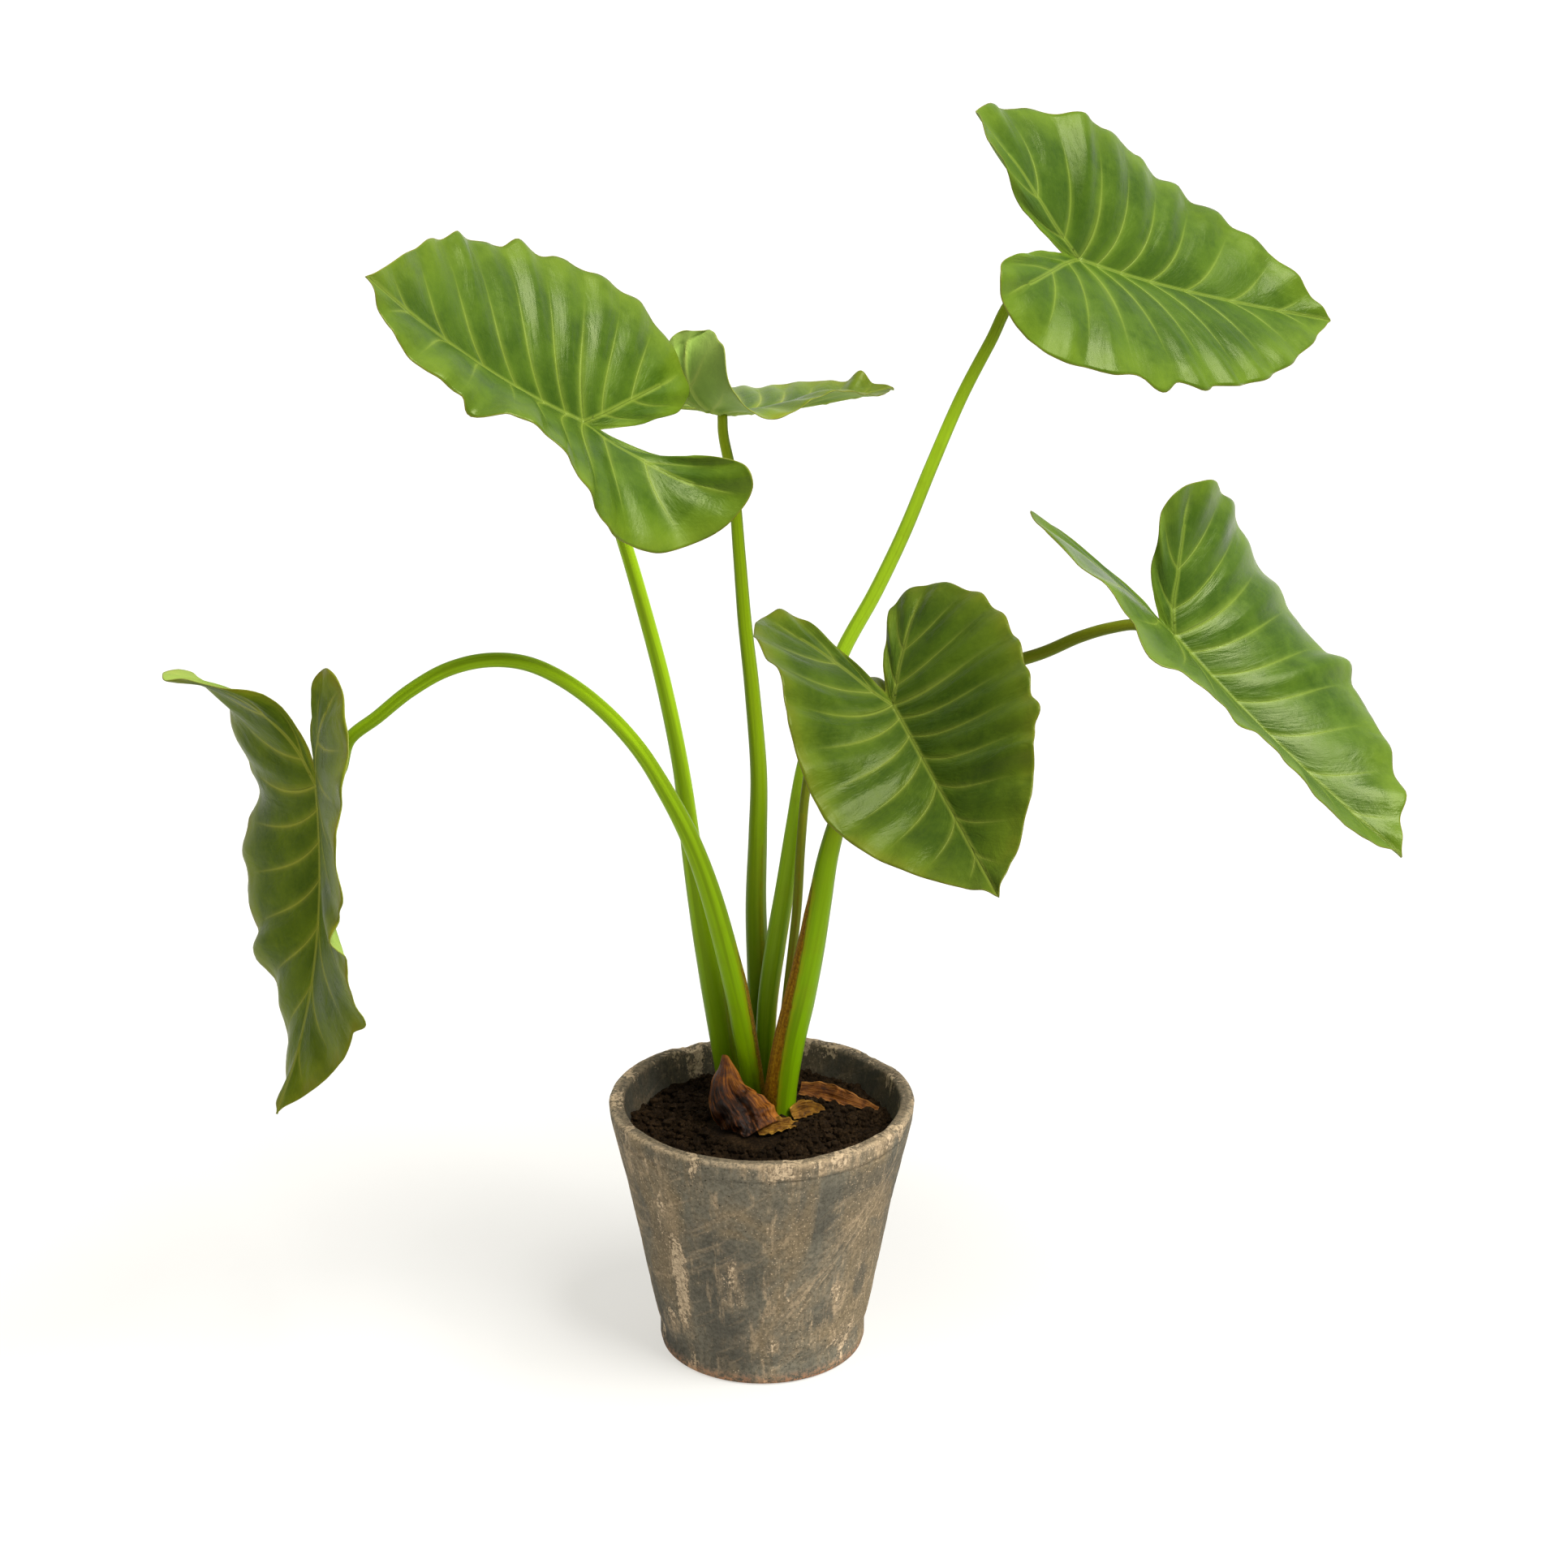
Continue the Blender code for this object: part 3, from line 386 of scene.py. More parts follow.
class Look:
    """A Principled material and short ways to add its nodes."""

    def __init__(self, name, roughness=0.5, specular=0.5):
        self.material = bpy.data.materials.new(name)
        self.material.use_nodes = True
        self.tree = self.material.node_tree
        self.shader = self.tree.nodes["Principled BSDF"]
        self.shader.inputs["Roughness"].default_value = roughness
        self.shader.inputs["Specular IOR Level"].default_value = specular

    def put(self, value, socket):
        if isinstance(value, bpy.types.NodeSocket):
            self.tree.links.new(value, socket)
        else:
            if socket.type == "RGBA" and len(value) == 3:
                value = (*value, 1.0)
            socket.default_value = value

    def node(self, kind, inputs=(), **settings):
        made = self.tree.nodes.new(kind)
        for key, value in settings.items():
            setattr(made, key, value)
        for key, value in dict(inputs).items():
            self.put(value, made.inputs[key])
        return made

    def math(self, operation, a, b=0.0):
        return self.node("ShaderNodeMath", {0: a, 1: b}, operation=operation).outputs[0]

    def times(self, a, b):
        return self.math("MULTIPLY", a, b)

    def plus(self, a, b):
        return self.math("ADD", a, b)

    def minus(self, a, b):
        return self.math("SUBTRACT", a, b)

    def size(self, a):
        return self.math("ABSOLUTE", a)

    def ease(self, value, low, high, start=0.0, end=1.0):
        """From start at low to end at high, eased at both ends."""
        ends = {"Value": value, "From Min": low, "From Max": high, "To Min": start, "To Max": end}
        return self.node("ShaderNodeMapRange", ends, interpolation_type="SMOOTHSTEP").outputs["Result"]

    def mix(self, factor, a, b):
        made = self.node("ShaderNodeMix", data_type="RGBA")
        self.put(factor, made.inputs[0])
        self.put(a, made.inputs[6])
        self.put(b, made.inputs[7])
        return made.outputs[2]

    def over(self, colour, tint, share, amount):
        """The colour with a tint laid over it, as strong as the share times the amount."""
        return self.mix(self.times(share, amount), colour, tint)

    def noise(self, vector, scale, detail=4.0, rough=0.55, bend=0.0):
        made = self.node("ShaderNodeTexNoise", {"Vector": vector, "Scale": scale, "Detail": detail,
                                                "Roughness": rough, "Distortion": bend})
        return made.outputs["Fac"]

    def stripes(self, x, y, often_x, often_y, detail, rough=0.55, bend=0.0):
        """Noise drawn out along a surface, with its own number of features a unit of x and of y."""
        return self.noise(self.vector(self.times(x, often_x), self.times(y, often_y)), 1, detail, rough, bend)

    def cells(self, vector, scale):
        return self.node("ShaderNodeTexVoronoi", {"Vector": vector, "Scale": scale}).outputs["Distance"]

    def ramp(self, factor, *stops):
        made = self.node("ShaderNodeValToRGB", {"Fac": factor})
        ramp = made.color_ramp
        while len(ramp.elements) < len(stops):
            ramp.elements.new(0.5)
        for element, (place, colour) in zip(ramp.elements, stops):
            element.position = place
            element.color = (*colour, 1.0)
        return made.outputs["Color"]

    def uv(self, name):
        split = self.node("ShaderNodeSeparateXYZ", {0: self.node("ShaderNodeUVMap", uv_map=name).outputs[0]})
        return split.outputs[0], split.outputs[1]

    def place(self):
        return self.node("ShaderNodeTexCoord").outputs["Object"]

    def vector(self, x, y, z=0.0):
        return self.node("ShaderNodeCombineXYZ", {0: x, 1: y, 2: z}).outputs[0]

    def stretch(self, vector, scale):
        return self.node("ShaderNodeMapping", {"Vector": vector, "Scale": scale}).outputs[0]

    def bump(self, height, depth, strength=1.0, before=None):
        inputs = {"Height": height, "Distance": depth, "Strength": strength}
        made = self.node("ShaderNodeBump", inputs)
        if before is not None:
            self.put(before, made.inputs["Normal"])
        return made.outputs[0]

    def finish(self, colour, roughness=None, normal=None):
        self.put(colour, self.shader.inputs["Base Color"])
        if roughness is not None:
            self.put(roughness, self.shader.inputs["Roughness"])
        if normal is not None:
            self.put(normal, self.shader.inputs["Normal"])
        return self.material


# Mesh helpers

def new_piece(name, points, faces, materials, node=None, uvs=None, face_slots=None, smooth=True):
    """A mesh that rides with the plant; uvs maps a name to one pair a corner."""
    mesh = bpy.data.meshes.new(name)
    mesh.from_pydata(np.asarray(points).tolist(), [], faces)
    for material in materials:
        mesh.materials.append(material)
    if face_slots is not None:
        mesh.polygons.foreach_set("material_index", np.asarray(face_slots, np.int32))
    for key, values in (uvs or {}).items():
        layer = mesh.uv_layers.new(name=key)
        layer.data.foreach_set("uv", np.asarray(values, np.float32).ravel())
    if smooth:
        mesh.shade_smooth()
    mesh.validate()
    item = bpy.data.objects.new(name, mesh)
    bpy.context.scene.collection.objects.link(item)
    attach(item, "root")
    if node is not None:
        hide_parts(node)
    return item


def grid_faces(rows, columns, closed=False):
    """Corner numbers of the quads of a grid, (count, 4)."""
    i, j = np.meshgrid(np.arange(rows - 1), np.arange(columns if closed else columns - 1), indexing="ij")
    k = (j + 1) % columns
    corners = [i * columns + j, (i + 1) * columns + j, (i + 1) * columns + k, i * columns + k]
    return np.stack(corners, -1).reshape(-1, 4)


def ring_face(ring, sides):
    """Corner numbers of a face that closes that ring of a round grid."""
    return list(range(ring * sides, (ring + 1) * sides))


# Blades

def pattern(along, across):
    """Flat point of half a blade in midrib lengths: along runs vein by vein, across from rib to margin."""
    vein = along * VEINS
    forward = vein <= FORWARD_VEINS
    outer = vein < FORWARD_VEINS + LOBE_VEINS
    lobe = np.where(outer, vein - FORWARD_VEINS, VEINS - vein) / LOBE_VEINS
    midrib = through(MIDRIB, vein / FORWARD_VEINS)
    rib = np.where(forward[..., None], np.concatenate([0 * midrib, midrib], -1), through(LOBE_RIB, lobe))
    margin = through(MARGIN, along)
    depth, reach = TIP_PINCH
    margin[..., 0] *= 1 - depth * np.exp((margin[..., 1] - 1) / reach)
    run = margin - rib
    aside = np.stack([-run[..., 1], run[..., 0]], -1)
    turn = np.where(outer, 1.0, -1.0) * np.where(forward, 1.0, LOBE_BOW)
    turn *= smoothstep(vein) * smoothstep((VEINS - vein) / 2)
    bow = turn * VEIN_HOOK * across * (1 - across) ** 2
    return rib + run * across[..., None] + aside * bow[..., None]


def leaf_axes(leaf):
    """Rows: towards the blade's right, along the midrib to the tip, and out of its upper face."""
    heading, rise, roll = (math.radians(leaf[key]) for key in ("heading", "rise", "roll"))
    tip = np.array([math.cos(rise) * math.cos(heading), math.cos(rise) * math.sin(heading), math.sin(rise)])
    up = unit(np.array([0, 0, 1.0]) - tip[2] * tip)
    right = np.cross(tip, up)
    across = right * math.cos(roll) - up * math.sin(roll)
    return np.stack([across, tip, up * math.cos(roll) + right * math.sin(roll)])


def arch_line(y, even, late):
    """The midrib's bend: place along, height and turning angle after running y along it."""
    run = np.linspace(0, 1, ARCH_STEPS + 1) * y[..., None]
    turn = -(even[..., None] * run + late[..., None] * run * np.abs(run))
    weight = np.ones(ARCH_STEPS + 1)
    weight[[0, -1]] = 0.5
    step = y / ARCH_STEPS
    return (np.cos(turn) * weight).sum(-1) * step, (np.sin(turn) * weight).sum(-1) * step, turn[..., -1]


def wave_heights(half_blade, side):
    """Height in metres of the wave between each pair of veins."""
    turns = np.arange(VEINS) * WAVE_TURN + WAVE_START[side]
    heights = half_blade["wave"] * (1 + WAVE_CHANGE * np.sin(turns))
    for place, height in half_blade["dents"].items():
        heights[place] = height
    return heights / 1000


def scallops(half_blade):
    """How far the margin bulges out between each pair of veins, as a share of the half's width there."""
    shares = np.full(VEINS, SCALLOP)
    for place, percent in half_blade["bulges"].items():
        shares[place] = percent / 100
    return shares


def vein_spacing(along, across):
    """Distance between neighbouring side veins at that place, in midrib lengths."""
    start = np.minimum((along * VEINS).astype(int), VEINS - 1)
    gap = pattern((start + 1) / VEINS, across) - pattern(start / VEINS, across)
    return np.linalg.norm(gap, axis=-1)


def blade_surface(leaf, along, across, side):
    """Upper face of half a blade in space; side is -1 for its left half and 1 for its right."""
    part = leaf["left" if side < 0 else "right"]
    vein = along * VEINS
    between = np.minimum(vein.astype(int), VEINS - 1)
    swell = np.sin(math.pi * (vein - between)) ** 2
    flat = pattern(along, across * (1 + scallops(part)[between] * swell * across))
    x, y = flat[..., 0], flat[..., 1]
    lift = wave_heights(part, side)[between] * swell * across ** WAVE_RISE
    to_vein = np.abs(vein - np.round(vein)) * vein_spacing(along, across) * leaf["length"]
    lift += QUILT * swell * np.sqrt(across * (1 - across) * 4) * np.minimum(1, 3 * x)
    lift -= FURROW * np.exp(-(to_vein / VEIN_WIDTH) ** 2) * (1 - across)
    lift = lift / leaf["length"]
    aside = smoothstep(x / RIB_BLEND)
    y = np.where(y < 0, y * (1 + (part["reach"] - 1) * aside), y)
    x = x * part["width"]
    fold = np.radians(through(part["fold"], (y - PATTERN_BACK) / (1 - PATTERN_BACK))[..., 0])
    curl = math.radians(part["curl"] or STRAIGHT)
    end = fold + curl * x
    out = (np.sin(end) - np.sin(fold)) / curl - np.sin(end) * lift
    up = (np.cos(fold) - np.cos(end)) / curl + np.cos(end) * lift
    even = np.where(y < 0, -2 * math.radians(part["lobe"]) * aside, math.radians(leaf["arch"][0]))
    late = np.where(y < 0, 0.0, math.radians(leaf["arch"][1]))
    ahead, height, turn = arch_line(y, even, late)
    local = np.stack([side * out, ahead - np.sin(turn) * up, height + np.cos(turn) * up], -1)
    return np.array(leaf["navel"]) + local * leaf["length"] @ leaf_axes(leaf)


def rib_distance(flat):
    """Distance to the midrib or the lobe's rib, in midrib lengths."""
    line = np.vstack([[(0, 1)], through(LOBE_RIB, np.linspace(0, 1, 13))])
    best = np.full(flat.shape[:-1], np.inf)
    for a, b in zip(line[:-1], line[1:]):
        way = b - a
        share = np.clip(((flat - a) @ way) / (way @ way), 0, 1)
        best = np.minimum(best, np.linalg.norm(flat - a - share[..., None] * way, axis=-1))
    return best


def build_blade(name, leaf, upper, under):
    """A fine closed blade with furrowed side veins above and ridges and a keel below."""
    rows, columns = VEINS * ROWS_A_VEIN + 1, BLADE_COLUMNS + 1
    share = np.linspace(0, 1, columns)
    share = share * (1 - BLADE_BUNCH) + BLADE_BUNCH * smoothstep(share)
    along, across = np.meshgrid(np.linspace(0, 1, rows), share, indexing="ij")
    flat = pattern(along, across)
    spacing = vein_spacing(along, across) * leaf["length"]
    vein = along * VEINS
    to_vein = np.abs(vein - np.round(vein)) * spacing
    rib = rib_distance(flat) * leaf["length"]
    edge = np.linalg.norm(pattern(along, np.ones_like(across)) - flat, axis=-1) * leaf["length"]
    from_tip = np.clip(1 - flat[..., 1], 0, 1)
    keel = (KEEL_TIP_DEPTH + (KEEL_DEPTH - KEEL_TIP_DEPTH) * from_tip) * np.exp(-(rib / KEEL_WIDTH) ** 2)
    keel = keel * np.clip((KEEL_START + flat[..., 1]) / KEEL_START, 0, 1)
    ridge = VEIN_DEPTH * (1 - across) * np.exp(-(to_vein / VEIN_WIDTH) ** 2)
    deep = BLADE_THICKNESS + np.maximum(keel, ridge)
    numbers, top, thickness, quads, pairs = {}, [], [], [], {"veins": [], "reach": [], "flat": []}
    cells = grid_faces(rows, columns)
    for side in (-1, 1):
        place = blade_surface(leaf, along, across, side)
        crinkle = CRINKLE * noise_at(place, CRINKLE_SIZE, 2) * across ** 3
        place = place + crinkle[..., None] * leaf_axes(leaf)[2]
        index = np.empty(along.shape, int)
        for i, j in np.ndindex(along.shape):
            key = (round(float(flat[i, j, 0]) * side, 6) + 0.0, round(float(flat[i, j, 1]), 6))
            if key not in numbers:
                numbers[key] = len(top)
                top.append(place[i, j])
                thickness.append(deep[i, j])
            index[i, j] = numbers[key]
        order = cells if side > 0 else cells[:, ::-1]
        quads.append(index.ravel()[order])
        values = {"veins": np.stack([along, across], -1), "reach": np.stack([spacing, rib], -1) * UV_LENGTH,
                  "flat": np.stack([flat[..., 0] * side, edge * UV_LENGTH], -1)}
        for key, value in values.items():
            pairs[key].append(value.reshape(-1, 2)[order])
    top, quads = np.array(top), np.vstack(quads)
    corner = {key: np.concatenate(value) for key, value in pairs.items()}
    facing = np.cross(top[quads[:, 2]] - top[quads[:, 0]], top[quads[:, 3]] - top[quads[:, 1]])
    normals = np.zeros_like(top)
    for k in range(4):
        np.add.at(normals, quads[:, k], facing)
    normals = normals / np.maximum(np.linalg.norm(normals, axis=1, keepdims=True), 1e-12)
    if (normals @ leaf_axes(leaf)[2]).mean() < 0:
        quads, normals = quads[:, ::-1], -normals
        corner = {key: value[:, ::-1] for key, value in corner.items()}
    lower = top - normals * np.array(thickness)[:, None]
    faces, slots, loops = [], [], {key: [] for key in corner}
    border = {}
    for f, quad in enumerate(quads):
        keep = [k for k in range(4) if quad[k] != quad[k - 1]]
        if len(keep) < 3:
            continue
        ring = [int(quad[k]) for k in keep]
        for shift, sequence, which in ((0, keep, 0), (len(top), keep[::-1], 1)):
            faces.append([int(quad[k]) + shift for k in sequence])
            slots.append(which)
            for key in loops:
                loops[key] += [corner[key][f, k] for k in sequence]
        for k in range(len(ring)):
            border[(ring[k], ring[(k + 1) % len(ring)])] = (f, keep[k], keep[(k + 1) % len(keep)])
    for (a, b), (f, ka, kb) in border.items():
        if (b, a) not in border:
            faces.append([b, a, a + len(top), b + len(top)])
            slots.append(1)
            for key in loops:
                loops[key] += [corner[key][f, kb], corner[key][f, ka], corner[key][f, ka], corner[key][f, kb]]
    return new_piece(name, np.vstack([top, lower]), faces, [upper, under],
                     name.replace("leaf", "blade"), loops, slots)


def shaded(colour, tone_and_painted_light, aged=0.0):
    """A linear green made lighter or darker, and turned towards olive as it ages."""
    return tuple(c * tone_and_painted_light * (1 - aged + aged * k) for c, k in zip(colour, AGED_TINT))


def blade_looks(name, tone_and_painted_light, aged, crumple, gloss):
    """Materials of one blade's upper face and underside."""
    made = []
    for kind, under in (("upper", False), ("under", True)):
        look = Look("blade_" + kind + "_" + name, 0.4, gloss / 2 if under else gloss)
        look.shader.inputs["Specular Tint"].default_value = (*SHEEN, 1.0)
        along, across = look.uv("veins")
        spacing, rib = look.uv("reach")
        _, edge = look.uv("flat")
        vein = look.times(along, VEINS)
        off = look.minus(look.math("FRACT", look.plus(vein, 0.5)), 0.5)
        panel = look.times(look.size(off), 2.0)
        off = look.times(off, look.times(spacing, UV_TO_MM))
        real = look.times(look.math("GREATER_THAN", vein, 0.5), look.math("LESS_THAN", vein, VEINS - 0.5))
        away = look.size(off)
        place = look.place()
        waver = look.times(look.minus(look.noise(place, 60, 2), 0.5), 1.2)
        away_soft = look.plus(away, waver)
        fade = look.times(look.ease(across, 0.25, 0.92, 1, 0), real)
        halo = look.times(look.ease(away_soft, 0.0, look.ease(across, 0, 1, 7.5, 4.0), 1, 0), fade)
        band = look.times(look.ease(away_soft, 0.1, look.ease(across, 0, 1, 2.3, 1.5), 1, 0), fade)
        line = look.times(look.ease(away, 0.05, 0.45, 1, 0), fade)
        # painted shade in the furrow on one side of each side vein, on the upper face only
        beside = look.size(look.minus(off, 1.0))
        crease = look.times(look.ease(beside, 0.05, 0.5, 1, 0), look.ease(across, 0.1, 0.6, 0.8, 0))
        crease = look.times(crease, real)
        rib_mm = look.times(rib, UV_TO_MM)
        midrib = look.ease(rib_mm, 0.8, 3.4, 1, 0)
        centre = look.ease(rib_mm, 0.1, 0.6, 1, 0)
        edge_mm = look.times(edge, UV_TO_MM)
        near = look.ease(edge_mm, 2, 44, 1, 0)
        blotch = look.noise(place, 22, 5, 0.6)
        fine = look.noise(place, 160, 4, 0.6)
        streaks = look.stripes(along, across, 190, 3.0, 5)
        folds = look.stripes(along, across, 21, 2.2, 4, 0.55, 0.8)
        *greens, margin_colour = BLADE_COLOURS[kind]
        ages = 0.4 * aged if under else aged
        # each blade's greens are made lighter or darker: partly its own tone, partly painted light and shade
        # for that blade
        deep, plain, pale, vein_colour = (shaded(c, tone_and_painted_light, ages) for c in greens)
        colour = look.mix(look.ease(blotch, 0.35, 0.68), deep, plain)
        colour = look.mix(look.times(near, look.ease(blotch, 0.25, 0.7, 0.35, 0.95)), colour, pale)
        colour = look.mix(look.ease(streaks, 0.35, 0.75, 0, 0.22), colour, plain)
        colour = look.mix(look.ease(fine, 0.3, 0.75, 0, 0.15), colour, pale)
        hollow = look.times(look.ease(panel, 0.35, 0.95, 0, 1), look.ease(across, 0.02, 0.75, 0.45, 0))
        colour = look.mix(hollow, colour, deep)
        for share, amount in ((halo, 0.30), (band, 0.64), (line, 0.30)):
            colour = look.over(colour, vein_colour, share, amount)
        if not under:
            colour = look.over(colour, shaded(VEIN_GROOVE_SHADE, tone_and_painted_light), crease, 0.6)
        colour = look.over(colour, vein_colour, midrib, 0.65)
        # a thin line of painted shade in the groove along the midrib's middle
        if not under:
            colour = look.over(colour, shaded(VEIN_GROOVE_SHADE, 1.6 * tone_and_painted_light), centre, 0.5)
        brown = look.times(look.ease(edge_mm, 1.0, 16.0, 1, 0), look.ease(blotch, 0.40, 0.62, 0.15, 1))
        colour = look.over(colour, AGED_MARGIN, brown, 0.75 * ages)
        colour = look.mix(look.ease(edge_mm, 0.3, 1.1, 0.8, 0), colour, shaded(margin_colour, min(tone_and_painted_light, 1)))
        roughness = look.ease(look.plus(blotch, look.times(fine, 0.3)), 0.35, 1.0,
                              0.5 if under else 0.24, 0.68 if under else 0.46)
        tissue = look.plus(look.times(streaks, 0.7), look.times(fine, 0.5))
        tissue = look.minus(tissue, look.times(line, 0.6))
        normal = look.bump(folds, 0.0040 * crumple, 0.45)
        normal = look.bump(tissue, 0.0006, 0.55, normal)
        made.append(look.finish(colour, roughness, normal))
    return made


# Stalks

def navel_normal(leaf):
    """Out of the upper face where the stalk joins, half-way between the folds of the two halves."""
    right, _, up = leaf_axes(leaf)
    folds = [math.radians(leaf[key]["fold"][1]) for key in ("left", "right")]
    lean = (folds[0] - folds[1]) / 2
    return unit(up * math.cos(lean) + right * math.sin(lean))


def stalk_line(leaf, stalk):
    """Route points of a stalk, from its foot in the soil to just under its blade."""
    normal = navel_normal(leaf)
    route = np.array(stalk["route"])
    foot = route[0] - np.array([0, 0, STALK_DEPTH])
    under = np.array(leaf["navel"]) - normal * (BLADE_THICKNESS + KEEL_DEPTH + GAP)
    approach = unit(unit(under - route[-1]) + normal)
    return np.vstack([foot, route, under - approach * JOINT_LEAD, under])


def build_stalk(name, leaf, stalk, look, material):
    """A fine stalk: a channelled sheath below, round above, with a domed joint under the blade."""
    points = stalk_line(leaf, stalk)
    joint = 1 - 1 / (len(points) - 1)
    fine = np.linspace(0, joint, len(points) * 30)
    run = run_length(through(points, fine))
    even = np.interp(np.linspace(0, run[-1], STALK_RINGS - JOINT_RINGS), run, fine)
    places = np.concatenate([even, joint + (1 - joint) * np.linspace(0, 1, JOINT_RINGS + 1)[1:]])
    line = through(points, places)
    ahead, behind = np.minimum(places + STALK_STEP, 1), np.maximum(places - STALK_STEP, 0)
    tangent = unit(through(points, ahead) - through(points, behind))
    tangent[0] = (0, 0, 1)
    normal = navel_normal(leaf)
    tangent[-1] = normal
    run = run_length(line)
    side = unit(np.array([STALK_CLUMP[0], STALK_CLUMP[1], 0]) - line[0] * (1, 1, 0))
    angles = circle(STALK_SIDES)
    dip = np.exp(-(np.minimum(angles, 2 * math.pi - angles) / CHANNEL_ANGLE) ** 2)
    where, width, top = look["margin"]
    aim = unit([math.cos(math.radians(where)), math.sin(math.radians(where)), 0])
    rings, dry = [], []
    for centre, way, gone in zip(line, tangent, run):
        side = unit(side - way * (side @ way))
        cross = np.cross(way, side)
        sheath = 1 - smoothstep(gone / (SHEATH_END + STALK_DEPTH))
        reach = np.interp(gone / run[-1], RADIUS_PLACES, stalk["radii"]) * (1 - stalk["channel"] * sheath * dip)
        out = np.outer(np.cos(angles), side) + np.outer(np.sin(angles), cross)
        turn = np.degrees(np.arccos(np.clip(out @ aim, -1, 1)))
        up = (gone - STALK_DEPTH) / top
        inside = (width * np.clip(1 - up, 0, 1) ** PAPERY_TAPER - turn) * math.radians(1) * reach * 1000
        inside = np.where(up < 1, inside, -10.0)
        reach = reach + PAPERY_RIDGE * np.exp(-(inside / PAPERY_RIDGE_MM) ** 2) * (up < 1)
        rings.append(centre + np.outer(np.cos(angles) * reach * (1 - SHEATH_FLAT * sheath), side)
                     + np.outer(np.sin(angles) * reach, cross))
        dry.append(inside)
    base, centre = rings[-1], rings[-1].mean(axis=0)
    for share, lift in JOINT_DOME:
        rings.append(centre + (base - centre) * share + normal * JOINT_REACH * lift)
        dry.append(dry[-1])
    rings, dry = np.array(rings), np.array(dry)
    gone = np.concatenate([run, [run[-1]] * len(JOINT_DOME)])
    quads = grid_faces(len(rings), STALK_SIDES, closed=True)
    ring_of, side_of = quads // STALK_SIDES, quads % STALK_SIDES
    closing = side_of.max(axis=1, keepdims=True) == STALK_SIDES - 1
    wrap = np.where((side_of == 0) & closing, STALK_SIDES, side_of)
    around = np.stack([wrap / STALK_SIDES, gone[ring_of] - STALK_DEPTH], -1)
    margin = np.stack([dry.ravel()[quads] / 20 + 0.5, gone[ring_of] / run[-1]], -1)
    caps = [ring_face(0, STALK_SIDES)[::-1], ring_face(len(rings) - 1, STALK_SIDES)]
    extra = {"around": [], "margin": []}
    for cap, ring in zip(caps, (0, len(rings) - 1)):
        extra["around"] += [(0.0, gone[ring] - STALK_DEPTH)] * STALK_SIDES
        extra["margin"] += [(0.0, gone[ring] / run[-1])] * STALK_SIDES
    uvs = {"around": np.vstack([around.reshape(-1, 2), extra["around"]]),
           "margin": np.vstack([margin.reshape(-1, 2), extra["margin"]])}
    return new_piece(name, rings.reshape(-1, 3), quads.tolist() + caps, [material],
                     name.replace("stalk", "petiole"), uvs)


def stalk_look(name, look_values):
    """Satin green with fine lengthwise lines, a dry papery margin and a few scars."""
    look = Look(name, 0.4, 0.10)
    look.shader.inputs["Specular Tint"].default_value = (*SHEEN, 1.0)
    around, up = look.uv("around")
    inside, share = look.uv("margin")
    place = look.place()
    foot, middle, top = look_values["colours"]
    full, olive = look_values["full"], look_values["olive"]
    colour = look.ramp(share, (0.0, foot), (0.18, foot), (full, middle), (olive - 0.12, middle), (olive, top))
    lines = look.stripes(around, up, 26, 7, 5, 0.6)
    blotch = look.noise(place, 34, 4, 0.6)
    angle = look.times(around, 2 * math.pi)
    bands = look.noise(look.vector(look.math("COSINE", angle), look.math("SINE", angle),
                                   look.times(up, 2.0)), 1.2, 3)
    colour = look.mix(look.ease(bands, 0.44, 0.60, 0, 0.60), colour, tuple(c * 0.45 for c in middle))
    colour = look.mix(look.ease(lines, 0.35, 0.7, 0, 0.38), colour, tuple(c * 0.62 for c in middle))
    colour = look.mix(look.ease(blotch, 0.5, 0.75, 0, 0.25), colour, (0.174, 0.211, 0.0062))
    fine = look.noise(place, 420, 4, 0.65)
    dry_mm = look.times(look.minus(inside, 0.5), 20)
    ragged = look.times(look.minus(look.noise(place, 130, 3), 0.5), 5.0)
    dry = look.ease(look.plus(dry_mm, ragged), -0.8, 1.6, 0, look_values["brown"])
    yellow = look.ease(look.plus(dry_mm, ragged), -5.5, 0.5, 0, 0.55 * look_values["brown"])
    papery = look.ramp(look.plus(look.times(lines, 0.5), look.times(fine, 0.5)), (0.34, (0.045, 0.013, 0.0008)),
                       (0.48, (0.175, 0.062, 0.0020)), (0.62, (0.360, 0.175, 0.0070)))
    colour = look.mix(yellow, colour, (0.290, 0.235, 0.0040))
    colour = look.mix(dry, colour, papery)
    border = look.ease(look.size(dry_mm), 0.2, 0.9, 0.5, 0)
    colour = look.mix(look.times(border, look_values["brown"]), colour, (0.019, 0.012, 0.0019))
    roughness = look.plus(look.ease(blotch, 0.3, 0.8, 0.30, 0.44), look.times(dry, 0.35))
    height = look.plus(look.times(lines, 0.8), look.times(fine, 0.3))
    return look.finish(colour, roughness, look.bump(height, 0.0007, 0.5))


# Soil

def inner_radius(height):
    radii, heights = zip(*reversed(belly_profile()))
    return float(np.interp(height, heights, radii)) - POT_WALL


def soil_height(x, y):
    """Height of the soil's surface: a low crown towards the stalks, with small clods away from them."""
    from_clump = np.hypot(x - STALK_CLUMP[0], y - STALK_CLUMP[1])
    crown = SOIL_CROWN * smoothstep(1 - np.hypot(x, y) / inner_radius(SOIL_EDGE_HEIGHT))
    clods = sum(np.sin(a * x + p) * np.cos(b * y - p) for a, b, p in SOIL_CLODS) * SOIL_CLOD_HEIGHT
    return SOIL_EDGE_HEIGHT + crown + clods * smoothstep(from_clump / CLUMP_RADIUS - CLUMP_CORE)


